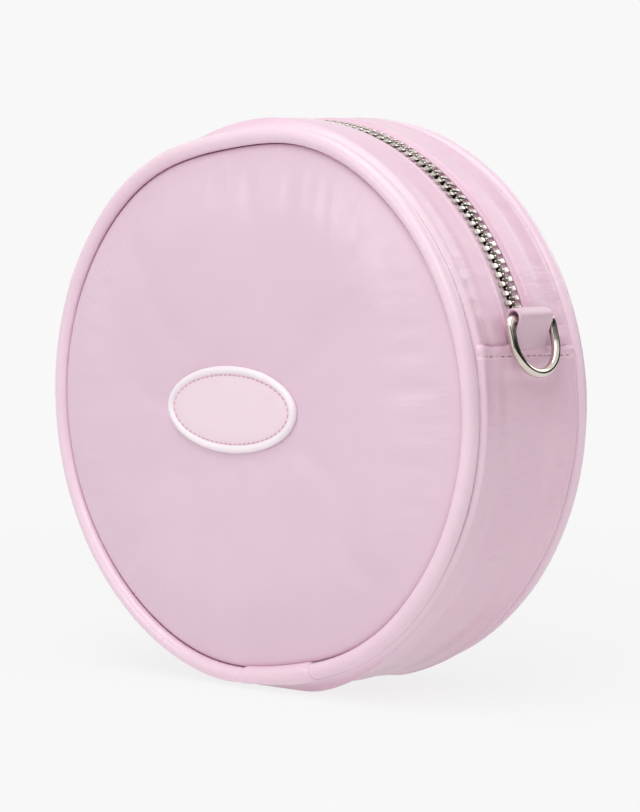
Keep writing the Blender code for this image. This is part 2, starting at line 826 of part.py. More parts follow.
for old in list(bpy.data.objects):
    bpy.data.objects.remove(old)
parts = bpy.data.collections.new("belt_bag")
cutters = bpy.data.collections.new("blocks_and_guides")
bpy.context.scene.collection.children.link(parts)
bpy.context.scene.collection.children.link(cutters)

zipper_axis = add_empty("zipper_axis", Matrix.Translation(centre))
mouth_line = Vector((0, -bead_depth, centre_height + mouth_hinge_rise))
mouth_axis = add_empty("mouth_axis", Matrix.Translation(mouth_line))

for end_name, facing in (("front", 1), ("rear", -1)):
    make_panel(end_name + "_panel", facing)
    make_stiffener(end_name + "_stiffener", facing)
    make_panel_lining(end_name + "_lining", facing)
    make_piping(end_name + "_piping", facing)
    make_binding(end_name + "_seam_binding", facing)
    make_zip_side(end_name, facing, mouth_axis if facing > 0 else None)
make_lower_gusset()
below_teeth = tooth_angle(-0.5, 1) - (stop_length / 2 + touch_gap) / tooth_radius
make_stop("bottom_stop", below_teeth, -stop_half_width, stop_half_width)
make_pull(make_slider(zipper_axis))
for hand_name, hand in (("right", 1), ("left", -1)):
    make_ring_tab(hand_name + "_ring_tab", hand)
    make_ring(hand_name + "_d_ring", hand)
make_patch()
make_patch_stitches()
stitch_angle = side_seam_angle - seam_stitch_inset / outer_radius
make_seam_stitches("right_seam_stitches", 2 * math.pi + stitch_angle)
make_seam_stitches("left_seam_stitches", math.pi - stitch_angle)
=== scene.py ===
# %% [markdown]
# # A round belt bag, dressed over its CAD frame
# The object is a drum-shaped belt bag in pale pink coated leather: two round panels, a piped seam
# round each, a gusset between them with a metal zipper, a D-ring at each side and a bare oval patch.
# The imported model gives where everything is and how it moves. This lesson gives each piece its real
# softness and finish. Every size is in metres, +Z is up and the front panel faces -Y.

# %% Load the frame
import json
import math

import bmesh
import bpy
import numpy as np
from mathutils import Matrix, Vector


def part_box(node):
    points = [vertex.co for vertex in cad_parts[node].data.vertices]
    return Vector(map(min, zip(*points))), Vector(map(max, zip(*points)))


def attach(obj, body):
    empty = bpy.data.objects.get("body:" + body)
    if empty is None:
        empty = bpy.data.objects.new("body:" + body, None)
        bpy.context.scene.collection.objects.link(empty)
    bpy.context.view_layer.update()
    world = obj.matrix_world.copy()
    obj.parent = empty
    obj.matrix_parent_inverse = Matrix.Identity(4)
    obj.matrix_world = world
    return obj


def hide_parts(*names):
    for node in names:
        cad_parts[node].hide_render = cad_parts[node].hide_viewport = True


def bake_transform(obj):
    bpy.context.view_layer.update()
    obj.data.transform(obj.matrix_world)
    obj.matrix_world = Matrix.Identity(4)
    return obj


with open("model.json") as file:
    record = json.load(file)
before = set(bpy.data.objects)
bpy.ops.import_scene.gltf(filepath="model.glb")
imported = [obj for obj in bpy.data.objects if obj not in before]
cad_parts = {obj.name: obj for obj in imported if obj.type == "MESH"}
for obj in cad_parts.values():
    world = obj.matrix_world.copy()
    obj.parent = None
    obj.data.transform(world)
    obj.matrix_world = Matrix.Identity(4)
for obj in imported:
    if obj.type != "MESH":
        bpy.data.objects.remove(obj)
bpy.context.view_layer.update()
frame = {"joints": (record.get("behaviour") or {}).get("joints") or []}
joints = {joint["name"]: joint for joint in frame["joints"]}
centre = Vector(joints["slider_travel"]["pos_m"])

# %% [markdown]
# ## Places on the drum
# Almost every piece runs round the bag's axis, so it is easiest to draw it by three numbers: how far
# from the axis, how deep toward the front, and the angle from the bag's right side. The leather
# rests on the ground, so anything below the ground is pressed up softly to it.

# %% Ring places
ground_softness = 0.0004


def ring_place(radius, depth, angle):
    # World places from a distance to the axis, a depth toward the front and an angle in degrees
    turn = np.radians(angle)
    spots = np.broadcast_arrays(radius * np.cos(turn), -depth * np.ones_like(turn), radius * np.sin(turn))
    return np.stack(spots, axis=-1) + np.array(centre)


def stood(section, turn):
    # A cross-section of distances and depths, stood at one angle round the axis
    return ring_place(section[:, 0], section[:, 1], np.full(len(section), turn))


def round_axis(places):
    # Distance from the axis, angle in degrees and offset from the centre of each place
    flat = places - np.array(centre)
    return np.hypot(flat[:, 0], flat[:, 2]), np.degrees(np.arctan2(flat[:, 2], flat[:, 0])), flat


def stood_on_ground(places):
    # The same places with what would sink into the ground pressed flat on it
    made = np.array(places, float)
    lift = np.clip(made[..., 2] / ground_softness, -30, 30)
    pressed = ground_softness * np.log1p(np.exp(lift))
    made[..., 2] = np.where(made[..., 2] < 20 * ground_softness, pressed, made[..., 2])
    return made


print("top of the drum", ring_place(0.095, 0.0, 90.0))

# %% [markdown]
# ## Lofted leather
# A gusset or a piping is one cross-section carried along an arc. The section is drawn as a path with
# rounded corners, thickened like a sheet, and the mesh is a grid of its copies. Drawing the grid
# directly keeps the quads even, which a modifier on a curve wouldn't, and lets each place on it be
# pushed a little where the leather puckers.

# %% Paths and sections
def corner_curve(before, corner, after, reach, most, steps):
    # Short curve in a corner's place, from a reach before it to a reach after it, or a share of the way
    one = corner + (before - corner) * min(reach / np.linalg.norm(before - corner), most)
    two = corner + (after - corner) * min(reach / np.linalg.norm(after - corner), most)
    return [(1 - t) ** 2 * one + 2 * t * (1 - t) * corner + t * t * two for t in np.linspace(0, 1, steps + 1)]


def rounded(points, reach, steps=4):
    # The path with its inner corners turned into short curves; reach may differ from corner to corner
    points = [np.array(point, float) for point in points]
    reaches = reach if isinstance(reach, (list, tuple)) else [reach] * (len(points) - 2)
    made = [points[0]]
    for before, corner, after, most in zip(points, points[1:], points[2:], reaches):
        made += corner_curve(before, corner, after, most, 0.5, steps)
    return made + [points[-1]]


def closed_round(points, reach, steps=4):
    # Closed outline with its corners rounded
    points = [np.array(point, float) for point in points]
    made = []
    for i, corner in enumerate(points):
        made += corner_curve(points[i - 1], corner, points[(i + 1) % len(points)], reach, 0.45, steps)
    return [tuple(place) for place in made]


def evened(path, step):
    # The path with no stretch longer than the step
    made = [np.array(path[0], float)]
    for a, b in zip(path, path[1:]):
        a, b = np.array(a, float), np.array(b, float)
        parts = max(1, math.ceil(np.linalg.norm(b - a) / step))
        made += [a + (b - a) * i / parts for i in range(1, parts + 1)]
    return np.array(made)


def offset(path, distance):
    # Parallel copy of an open path, on the right-hand side of its direction
    path = np.array(path, float)
    ways = np.gradient(path, axis=0)
    ways /= np.linalg.norm(ways, axis=1, keepdims=True)
    return path + distance * np.stack([ways[:, 1], -ways[:, 0]], axis=1)


def sheet_section(path, thickness):
    # Closed outline of a sheet that follows a path
    return np.vstack([path, offset(path, thickness)[::-1]])


def facing_front(side, places):
    # Mirrors a piece that is drawn for the front to the rear
    made = np.array(places, float)
    if side < 0:
        made[..., 1] = -made[..., 1]
    return made


print("corner sample", len(closed_round([(0, 0), (1, 0), (1, 1)], 0.1)), "points")

# %% Meshes
sides = (("front", 1), ("rear", -1))


def in_scene(name, data):
    # New object in the scene's collection
    thing = bpy.data.objects.new(name, data)
    bpy.context.scene.collection.objects.link(thing)
    return thing


def plain_mesh(name, places, faces):
    # Mesh from places and faces
    mesh = bpy.data.meshes.new(name)
    mesh.from_pydata([tuple(place) for place in places], [], faces)
    return mesh


def quads_between(index):
    # Four-cornered faces between neighbours in a grid of vertex numbers
    corners = [index[:-1, :-1], index[:-1, 1:], index[1:, 1:], index[1:, :-1]]
    return np.stack(corners, axis=-1).reshape(-1, 4).tolist()


def mesh_places(mesh):
    # Places of a mesh's vertices
    return np.array([vertex.co for vertex in mesh.vertices])


def seam_sections(name, side, sections):
    # Ring of sections round the whole drum, from pairs of an angle and a section, resting on the ground
    grid = np.array([stood(section, turn) for turn, section in sections])
    return grid_mesh(name, facing_front(side, stood_on_ground(grid)), round_trip=True)


def grid_mesh(name, grid, round_trip=False):
    # Mesh over a grid of places: each row is a closed section, and the rows may meet in a ring
    rows, columns = grid.shape[:2]
    index = np.arange(rows * columns).reshape(rows, columns)
    ends = (index[0].tolist(), index[-1].tolist()[::-1])
    if round_trip:
        index = np.vstack([index, index[:1]])
    index = np.hstack([index, index[:, :1]])
    faces = quads_between(index)
    if not round_trip:
        faces += [list(end) for end in ends]
    return tidied(plain_mesh(name, grid.reshape(-1, 3).tolist(), faces))


def tidied(mesh):
    # Faces turned outward, round sides shaded smooth and real corners kept
    bm = bmesh.new()
    bm.from_mesh(mesh)
    bmesh.ops.recalc_face_normals(bm, faces=bm.faces)
    bm.to_mesh(mesh)
    bm.free()
    mesh.shade_smooth()
    mesh.set_sharp_from_angle(angle=math.radians(40))
    return mesh


def tube_faces(rows):
    # Faces of a tube with eight corners in each section and both ends closed
    index = np.arange(rows * 8).reshape(rows, 8)
    return quads_between(np.hstack([index, index[:, :1]])) + [index[0].tolist(), index[-1].tolist()[::-1]]


def joined_mesh(name, parts):
    # One mesh from several lists of places and faces
    places, faces = [], []
    for spots, corners in parts:
        start = len(places)
        places += spots
        faces += [tuple(start + corner for corner in face) for face in corners]
    return tidied(plain_mesh(name, places, faces))


# %% [markdown]
# ## Pieces that know their body
# Every piece of the bag rides on a body of the frame, stands for one CAD node or for none, and
# gets its finish as a material. One helper says all of it, so that no piece is left without its
# material, and every piece that doesn't bend gets its place in the mechanism. The front's pieces
# would bend between the bag and the mouth flap, because leather has no hinge line, so the helper puts
# them on no body and only bakes their places. The bag in the photograph isn't a true drum: its front
# seam sits flatter at the top and the foot. So the helper also moves every place a little, and keeps
# the place as drawn in an attribute, which the finishes follow.

# %% Adding pieces
pieces = {}
seam_dents = [(97.0, 22.0, 0.0045), (281.0, 18.0, 0.0026)]
shoulder_dents = [(118.0, 26.0, 0.0021), (262.0, 15.0, -0.0014)]


def smooth(values, low, high):
    # Nought below low, one above high
    t = np.clip((values - low) / (high - low), 0, 1)
    return t * t * (3 - 2 * t)


def dented(turn, dents):
    # How far a line round the drum is pulled in: each dent has its angle, its width and its depth
    return sum(size * np.exp(-((turn - at) / width) ** 2) for at, width, size in dents)


def settled(places):
    # The front seam as the photograph shows it: flattened at the top and the foot, and turned a little,
    # with the gusset's shoulder beside it a little lower at the upper left and fuller at the foot
    radius, turn, flat = round_axis(places)
    turn, deep = turn % 360, -flat[:, 1]
    near = smooth(deep, 0.0212, 0.0252) * smooth(radius, 0.056, 0.084)
    beside = smooth(deep, 0.0150, 0.0215) * (1 - smooth(deep, 0.0225, 0.0252)) * smooth(radius, 0.070, 0.086)
    beside = beside * smooth(places[:, 2], 0.0, 0.0030)
    pull = near * dented(turn, seam_dents) + beside * dented(turn, shoulder_dents)
    way = flat / np.maximum(radius, 1e-6)[:, None]
    side = way[:, 0]
    inside = 1 - smooth(radius, 0.0886, 0.0902)
    push = np.where(side > 0, -0.0016, 0.0014 * inside) * side ** 4
    made = places.copy()
    made[:, 0] -= pull * way[:, 0]
    made[:, 2] -= pull * way[:, 2]
    made[:, 1] -= near * push
    return made


def add_piece(name, mesh, finish, slot, body, *nodes, bends=False):
    # Object with its finish, its CAD nodes and its body; its finish follows the places as drawn
    drawn = mesh_places(mesh)
    mesh.vertices.foreach_set("co", settled(drawn).ravel())
    mesh.attributes.new("drawn_place", "FLOAT_VECTOR", "POINT").data.foreach_set("vector", drawn.ravel())
    mesh.update()
    mesh.materials.append(finish)
    piece = in_scene(name, mesh)
    if bends:
        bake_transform(piece)
    else:
        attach(piece, body)
    if nodes:
        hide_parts(*nodes)
    pieces[name] = piece
    print(name, len(mesh.polygons), "faces")
    return piece


# %% [markdown]
# ## Shader maths as plain sums
# A finish is built from masks: numbers between nought and one that say where the grain is deep or
# the edge is worn. Written as nodes they are hard to read, so a small class wraps a node's output,
# and a sum or product on it adds the Math node that does it.

# %% Wires between nodes
class Wire:
    # One output of a shader node in a material's tree
    def __init__(self, tree, socket=None):
        self.tree = tree
        self.socket = socket

    def node(self, kind, settings=None, values=None, out=0):
        # Any node: its settings first, then the numbers or wires of its inputs
        made = self.tree.nodes.new("ShaderNode" + kind)
        for name, value in (settings or {}).items():
            setattr(made, name, value)
        for name, value in (values or {}).items():
            if isinstance(value, Wire):
                self.tree.links.new(value.socket, made.inputs[name])
            else:
                made.inputs[name].default_value = value
        return Wire(self.tree, made.outputs[out])

    def math(self, operation, *values, clamp=False):
        return self.node("Math", {"operation": operation, "use_clamp": clamp}, dict(enumerate(values)))

    def __add__(self, other):
        return self.math("ADD", self, other)

    __radd__ = __add__

    def __sub__(self, other):
        return self.math("SUBTRACT", self, other)

    def __rsub__(self, other):
        return self.math("SUBTRACT", other, self)

    def __mul__(self, other):
        return self.math("MULTIPLY", self, other)

    __rmul__ = __mul__

    def absolute(self):
        return self.math("ABSOLUTE", self)

    def between(self, low, high):
        # Nought below low, one above high, smooth in between
        return self.node("MapRange", {"interpolation_type": "SMOOTHSTEP"},
                         {"Value": self, "From Min": low, "From Max": high})

    def colours(self, first, second):
        # The first colour where this mask is nought, the second where it is one
        values = {0: self, 6: first, 7: second}
        return self.node("Mix", {"data_type": "RGBA"}, values, out=2)

    def vector(self, operation, other=None, out=0):
        values = {0: self} if other is None else {0: self, 1: other}
        return self.node("VectorMath", {"operation": operation}, values, out)

    def noise(self, scale, detail=2.0, rough=0.5):
        values = {"Vector": self, "Scale": scale, "Detail": detail, "Roughness": rough}
        return self.node("TexNoise", None, values)

    def axis(self, name):
        # One coordinate of a vector
        return self.node("SeparateXYZ", None, {0: self}, out=name)


def start_finish(name, **fixed):
    # New material with the numbers that are the same all over set on its shader
    material = bpy.data.materials.new(name)
    material.use_nodes = True
    shader = material.node_tree.nodes["Principled BSDF"]
    for socket, value in fixed.items():
        shader.inputs[socket.replace("_", " ")].default_value = value
    bench = Wire(material.node_tree)
    return material, shader, bench.node("Attribute", {"attribute_name": "drawn_place"}, out="Vector")


def feed(material, shader, height, depth, strength, **wires):
    # Links the varying colour, roughness or coat, and a bump from a height
    wires["Normal"] = height.node("Bump", None, {"Height": height, "Distance": depth, "Strength": strength})
    for socket, wire in wires.items():
        material.node_tree.links.new(wire.socket, shader.inputs[socket.replace("_", " ")])
    return material


def bare_bench(owner):
    # The emptied node tree of a material or the world
    owner.use_nodes = True
    owner.node_tree.nodes.clear()
    return Wire(owner.node_tree)


def end_tree(wire, kind):
    # Links a bare tree's last node to a new output node
    out = wire.tree.nodes.new("ShaderNodeOutput" + kind)
    wire.tree.links.new(wire.socket, out.inputs["Surface"])


def linear(red, green, blue):
    # Linear colour of an 8-bit screen colour
    levels = [value / 255 for value in (red, green, blue)]
    made = [v / 12.92 if v <= 0.04045 else ((v + 0.055) / 1.055) ** 2.4 for v in levels]
    return (*made, 1)


print("pale pink", linear(233, 205, 220))

# %% [markdown]
# ## The piped seam
# Each edge of a real bag like this has a cord in a folded strip, sewn between the panel and the
# gusset. All three layers turn inward at the seam and end as seam allowance. Their places
# follow from the bead: its centre lies a bead's radius inside the bag's outer edge, and the
# allowance slants into the bag at 45 degrees.

# %% Seam places
outer_radius = 0.0950
half_depth = 0.03075
bead = 0.00275
bead_radius, bead_depth = outer_radius - bead, half_depth - bead
leather = 0.0010
gap = 0.0003
wrap = 0.0007
allowance = 0.0120
flange_offset = 0.00115
wall_radius, hem_radius = 0.0930, 0.0926


def seam_spot(along, across):
    # Distance to the axis and depth, from a place in the slanting seam
    slant = math.sqrt(0.5)
    return (bead_radius + slant * (across - along), bead_depth - slant * (along + across))


corner_along = math.sqrt((bead + gap) ** 2 - flange_offset ** 2)
panel_corner = seam_spot(corner_along, -flange_offset)
panel_flange = seam_spot(allowance, -flange_offset)
gusset_corner = seam_spot(corner_along, flange_offset)
gusset_flange = seam_spot(allowance, flange_offset)
print("panel meets the bead at", panel_corner, "gusset at", gusset_corner)

# %% [markdown]
# ## Coated leather
# Pale PU leather has a thin glossy film over a fine, even grain. Round the drum the film also shows
# faint streaks that run square to the seams, where the sheet was eased into the curve, and broad
# shallow waves from handling. The streaks come from noise on the direction out from the axis, so
# they point at the axis wherever they are, and no picture of leather is needed. Down in the piped
# seam shade is painted in as a deeper pink, and on the gusset's roll beside the seam a highlight is
# painted in as a paler pink. Both follow from the distance to the bead's middle.

# %% Leather finish
def from_bead(out):
    # Places across the seam, measured from the bead's middle: outward and toward the face
    return flat_distance(out) - bead_radius, out.axis("Y").absolute() - bead_depth


def near_bead(out, low, high):
    # One up to the low distance from the bead's middle, nought beyond the high one
    off, deep = from_bead(out)
    away = off * off + deep * deep
    return 1 - away.math("SQRT", away).between(low, high)


def seam_shade(out, on_bead):
    # One down in the piped seam, where shade is painted dark, and nought away from it
    if on_bead:
        off, deep = from_bead(out)
        return ((off + deep) * -math.sqrt(0.5)).between(0.78 * bead, 0.97 * bead)
    return near_bead(out, bead - 0.0001, bead + 0.0005)


def leather_finish(name, body_colour, crease_colour, streaks, gloss, on_bead=False, pale=False):
    # A body colour, a crease colour, the streaks' strength and the gloss, under a thin clear coat; shade is
    # painted in the seam, and pale paints a highlight on the gusset's roll beside it
    material, shader, place = start_finish(
        name, Coat_Roughness=0.22, Specular_IOR_Level=0.42, Sheen_Weight=0.08, Sheen_Roughness=0.4)
    out = place.vector("SUBTRACT", tuple(centre))
    flat = out.vector("MULTIPLY", (1.0, 0.0, 1.0)).vector("NORMALIZE")
    along = out.vector("MULTIPLY", (0.10, 0.35, 0.10))
    eased = flat.vector("MULTIPLY", (wall_radius,) * 3).vector("ADD", along)
    streak = eased.noise(330, 3.0, 0.55)
    patchy = place.noise(38, 2.0).between(0.42, 0.66)
    rim = flat.vector("MULTIPLY", (wall_radius, 0.0, wall_radius))
    near_seam = flat_distance(out).between(0.050, 0.086)
    waves = place.noise(24, 1.5)
    grain = place.node("TexVoronoi", {"feature": "SMOOTH_F1"},
                       {"Vector": place, "Scale": 1500, "Smoothness": 0.6})
    pores = place.noise(2600, 2.0)
    height = (streak * patchy * near_seam * streaks + waves * 1.1
              + grain * 0.035 + pores * 0.02 + rim.noise(160, 1.0) * 0.12)
    tone = place.noise(17, 3.0).between(0.30, 0.72)
    speckle = place.noise(420, 3.0)
    shift = tone * 0.75 + speckle * 0.25
    # Painted shade: a deeper pink down in the piped seam
    shade = seam_shade(out, on_bead) * 0.85
    body = shift.colours(body_colour, crease_colour)
    # Painted highlight: a paler pink on the gusset's roll beside the seam
    if pale:
        body = (near_bead(out, 0.0046, 0.0072) * 0.9).colours(body, painted_highlight_pink)
    colour = shade.colours(body, painted_seam_shade_pink)
    rough = place.noise(60, 3.0) * 0.10 + pores * 0.05 + (gloss - 0.07)
    coat = 0.32 - place.noise(90, 2.0) * 0.16
    return feed(material, shader, height, 0.0011, 0.55, Base_Color=colour, Roughness=rough, Coat_Weight=coat)


def flat_distance(out):
    # Distance from the bag's axis
    return out.vector("MULTIPLY", (1.0, 0.0, 1.0)).vector("LENGTH", out="Value")


# Colours for the painted seam shade and for the painted highlight beside the seam
painted_seam_shade_pink, painted_highlight_pink = linear(226, 150, 178), linear(243, 216, 230)
panel_leather = leather_finish("panel_leather", linear(229, 199, 215), linear(224, 193, 210), 0.5, 0.33)
# The piping is painted lighter than the panel's leather, a painted highlight for the bead's gloss
lit_piping_leather = leather_finish("lit_piping_leather", linear(243, 214, 229), linear(237, 205, 221), 0.4, 0.28,
                                on_bead=True)
band_leather = leather_finish("band_leather", linear(236, 200, 218), linear(230, 190, 210), 0.8, 0.34,
                              pale=True)
tab_leather = leather_finish("tab_leather", linear(224, 192, 208), linear(218, 184, 201), 0.3, 0.34)
print("leather finishes", [m.name for m in (panel_leather, lit_piping_leather, band_leather, tab_leather)])

# %% [markdown]
# ## Cloth, foam and thread
# The zipper tape is a close herringbone weave, the lining a plain thin weave, and the binding a
# ribbed tape. A weave is two sets of waves: here one runs round the drum and the other along its
# depth, because UVs would have to be drawn by hand on every strip.

# %% Woven finishes
def weave_finish(name, light, dark, pitch, rough=0.8, ribs=0.5):
    # Warp and weft as two sets of waves a pitch apart; ribs is the warp's share of the height
    material, shader, place = start_finish(name, Sheen_Weight=0.25, Sheen_Roughness=0.5)
    out = place.vector("SUBTRACT", tuple(centre))
    turn = place.math("ARCTAN2", out.axis("Z"), out.axis("X")) * (0.0903 / pitch * 2 * math.pi)
    across = out.axis("Y") * (2 * math.pi / pitch)
    radial = flat_distance(out) * (2 * math.pi / pitch)
    warp = place.math("SINE", turn + across * 0.5)
    weft = place.math("SINE", across + radial)
    height = warp * (0.5 * ribs) + weft * (0.5 * (1 - ribs)) + place.noise(900, 2.0) * 0.5
    mask = height.between(-0.5, 0.8)
    # Colour from random tone and the weave's height: darker where the threads lie low
    weave_tone = place.noise(120, 3.0) * 0.5 + mask * 0.5
    return feed(material, shader, height, 0.0002, 0.7, Base_Color=weave_tone.colours(dark, light),
                Roughness=rough - mask * 0.1)


tape_weave = weave_finish("tape_weave", linear(238, 212, 224), linear(216, 180, 197), 0.0007)
lining_weave = weave_finish("lining_weave", linear(226, 204, 214), linear(208, 182, 196), 0.0006, 0.75)
binding_weave = weave_finish("binding_weave", linear(222, 190, 206), linear(200, 164, 184), 0.0009, 0.85,
                             0.9)
print("woven finishes", tape_weave.name, lining_weave.name, binding_weave.name)


# %% Foam, cord and thread finishes
def soft_finish(name, light, dark, scale, rough, depth, **fixed):
    # Matt stuff with small cells or fibres
    material, shader, place = start_finish(name, **fixed)
    cells = place.node("TexVoronoi", None, {"Vector": place, "Scale": scale})
    height = cells * 0.7 + place.noise(scale * 1.7, 3.0) * 0.3
    return feed(material, shader, height, depth, 0.6, Base_Color=height.colours(dark, light),
                Roughness=rough - cells * 0.08)


foam_board = soft_finish("foam_board", linear(238, 236, 232), linear(214, 211, 205), 1100, 0.98, 0.0003)
piping_cord = soft_finish("piping_cord", linear(232, 230, 226), linear(210, 207, 202), 700, 0.7, 0.0003)
plum_thread, pink_thread, rose_thread = (
    soft_finish(name, light, dark, 2400, rough, 0.0001, Sheen_Weight=0.3)
    for name, light, dark, rough in (
        ("plum_thread", linear(190, 138, 158), linear(158, 106, 128), 0.62),
        ("pink_thread", linear(246, 222, 233), linear(228, 196, 211), 0.60),
        ("rose_thread", linear(231, 178, 196), linear(214, 158, 178), 0.60)))
print("threads", plum_thread.name, pink_thread.name, rose_thread.name)

# %% [markdown]
# ## Metal and rubber
# The fittings are nickel-plated zinc: the ring is polished bright, while the teeth are tumbled, so
# they keep a duller skin, and shade is painted darker deep between them. The patch is moulded rubber,
# satin and slightly translucent-looking, with a fine mould texture. Its face is left bare.

# %% Metal finishes
zip_setback = 0.0011


def metal_finish(name, bright, dull, rough, scratch, shade_between_teeth=False):
    # Plated metal with fine lines and duller patches; the last flag paints shade dark deep between the teeth
    material, shader, place = start_finish(name, Metallic=1.0)
    smear = place.noise(240, 4.0, 0.6)
    lines = place.vector("MULTIPLY", (1.0, 6.0, 1.0)).noise(900, 2.0)
    mask = smear.between(0.35, 0.75)
    colour = mask.colours(bright, dull)
    if shade_between_teeth:
        out = place.vector("SUBTRACT", tuple(centre))
        middle = out.axis("Y") - zip_setback
        deep = 1 - middle.absolute().between(0.0009, 0.0015)
        low = 1 - flat_distance(out).between(0.0941, 0.0942)
        # Painted shade: darker along the middle where the two rows' heads meet, except on the nibs' tops
        colour = (deep * low * 0.8).colours(colour, linear(92, 80, 74))
    return feed(material, shader, lines * 0.5 + smear * 0.5, 0.00004, scratch,
                Base_Color=colour, Roughness=mask * 0.12 + lines * 0.06 + rough)


ring_nickel = metal_finish("ring_nickel", linear(222, 213, 203), linear(204, 195, 185), 0.05, 0.2)
tooth_nickel = metal_finish("tooth_nickel", linear(226, 219, 212), linear(190, 180, 172), 0.10, 0.4, True)
slider_nickel = metal_finish("slider_nickel", linear(222, 215, 207), linear(198, 190, 181), 0.14, 0.3)
print("metals", ring_nickel.name, tooth_nickel.name, slider_nickel.name)


# %% Rubber finishes
def rubber_finish(name, light, dark, rough, coat):
    # Satin rubber with the mould's fine texture
    material, shader, place = start_finish(name, Subsurface_Weight=0.12, Subsurface_Scale=0.002,
                                           Coat_Weight=coat, Coat_Roughness=0.35)
    mould = place.noise(1300, 3.0)
    blotch = place.noise(90, 2.0)
    shift = blotch * 0.6 + mould * 0.4
    return feed(material, shader, mould + blotch * 0.4, 0.00012, 0.35,
                Base_Color=shift.colours(light, dark), Roughness=mould * 0.12 + rough)


rim_rubber = rubber_finish("rim_rubber", linear(250, 240, 245), linear(244, 230, 238), 0.36, 0.12)
field_rubber = rubber_finish("field_rubber", linear(246, 221, 232), linear(242, 214, 226), 0.38, 0.10)
print("rubbers", rim_rubber.name, field_rubber.name)

# %% [markdown]
# ## Piping
# The wrap is a thin tube round the cord, with two legs in the seam. Where its ends meet, at the
# bottom, one end laps over the other for about three centimetres, and that shows as a thicker
# stretch with a cut edge. A bead of leather is never quite even, so its radius wanders by a few
# hundredths of a millimetre and it flattens a little between stitches.

# %% Piping wrap and cord
lap_start, lap_end = 267.3, 287.5
lap_swell = 0.00084
cord_radius = 0.00185
ring_rows, piping_stitch = 300, 0.0036


def bead_outline(outside, inside, steps):
    # Closed section of the wrap: legs and bead outside, then the cavity for the cord
    places = []
    for radius, flank, legs in ((outside, 0.00085, 1), (inside, 0.00015, -1)):
        start = math.asin(flank / radius)
        turns = np.linspace(start, 2 * math.pi - start, steps)[::legs]
        round_part = [(radius * math.cos(t), -radius * math.sin(t)) for t in turns]
        ends = [(allowance, -flank), (allowance, flank)][::legs]
        places += [ends[0]] + round_part + [ends[1]]
    return places


def make_piping(name, side):
    # The wrap's tube with its two legs, and the twisted cord inside it
    turns = np.arange(ring_rows) * 360.0 / ring_rows
    wander = 0.00004 * np.sin(np.radians(turns * 7 + 40 * side)) + 0.00003 * np.sin(np.radians(turns * 17))
    pulls = 0.00003 * np.cos(turns / 360 * 2 * math.pi * outer_radius / piping_stitch * 2 * math.pi)
    rows = []
    for turn, change in zip(turns, wander + pulls):
        outline = bead_outline(bead + change, bead - wrap, 26)
        rows.append((turn, np.array([seam_spot(*spot) for spot in outline])))
    mesh = seam_sections(name + "_piping", side, rows)
    add_piece(name + "_piping", mesh, lit_piping_leather, "leather", "bag", name + "_piping_wrap", bends=side > 0)
    strands = []
    circle = np.linspace(0, 2 * math.pi, 15)[:-1]
    for turn in turns[::2]:
        twist = 0.00006 * np.cos(3 * circle + math.radians(turn * 60))
        spots = [seam_spot((cord_radius + t) * math.cos(c), (cord_radius + t) * math.sin(c))
                 for c, t in zip(circle, twist)]
        strands.append((turn, np.array(spots)))
    mesh = seam_sections(name + "_cord", side, strands)
    add_piece(name + "_cord", mesh, piping_cord, "cord", "bag", name + "_piping_cord", bends=side > 0)


for name, side in sides:
    make_piping(name, side)


# %% Laps of the pipings
def make_lap(name, side):
    # Sleeve over the bead where its one end covers the other, cut square at both ends
    turns = np.linspace(lap_start, lap_end, 28)
    rows = []
    for i, turn in enumerate(turns):
        end = min(i, len(turns) - 1 - i)
        swell = lap_swell if end >= 2 else (0.00020, 0.00070)[end]
        swell *= 1 - 0.35 * (turn - lap_start) / (lap_end - lap_start)
        circle = np.linspace(math.radians(24), math.radians(336), 26)
        outer, inner = ([seam_spot(radius * math.cos(c), -radius * math.sin(c)) for c in circle]
                        for radius in (bead + swell, bead - 0.0002))
        rows.append(stood(np.array(outer + inner[::-1]), turn))
    grid = facing_front(side, stood_on_ground(np.array(rows)))
    add_piece(name, grid_mesh(name, grid), lit_piping_leather, "leather", "bag")


for name, side in sides:
    make_lap(name + "_piping_lap", side)

# %% [markdown]
# ## Round panels
# Each panel is a leather disc over a foam board. It lies nearly flat in the middle and rolls over
# into the seam near its edge. The disc is drawn on a square grid bent to a circle, because the
# cells of a plain polar grid get tiny in the middle, and cloth simulation wants even cells.

# %% Disc grid
grid_count = 56
dome_rise, flat_share, dome_power = 0.0042, 0.66, 2.4
roll_width, roll_drop = 0.0024, 0.0013


def dome_share(radius):
    # One on the flat middle of a panel, nought at its edge
    return 1 - np.clip((radius / panel_corner[0] - flat_share) / (1 - flat_share), 0, 1) ** dome_power


def dome_depth(radius):
    # Depth of a panel's outer surface at a distance from the axis
    dome = panel_corner[1] + roll_drop + (dome_rise - roll_drop) * dome_share(radius)
    rolled = np.clip((radius - panel_corner[0] + roll_width) / roll_width, 0, 1)
    return dome - roll_drop * (1 - np.sqrt(1 - rolled ** 2))


def disc_places(count, radius):
    # Square grid drawn onto a disc
    side = np.linspace(-1, 1, count + 1)
    u, v = np.meshgrid(side, side)
    wide = np.abs(u) > np.abs(v)
    reach = np.where(wide, u, v)
    safe = np.where(reach == 0, 1, reach)
    turn = np.where(wide, math.pi / 4 * v / safe, math.pi / 2 - math.pi / 4 * u / safe)
    return radius * reach * np.cos(turn), radius * reach * np.sin(turn)


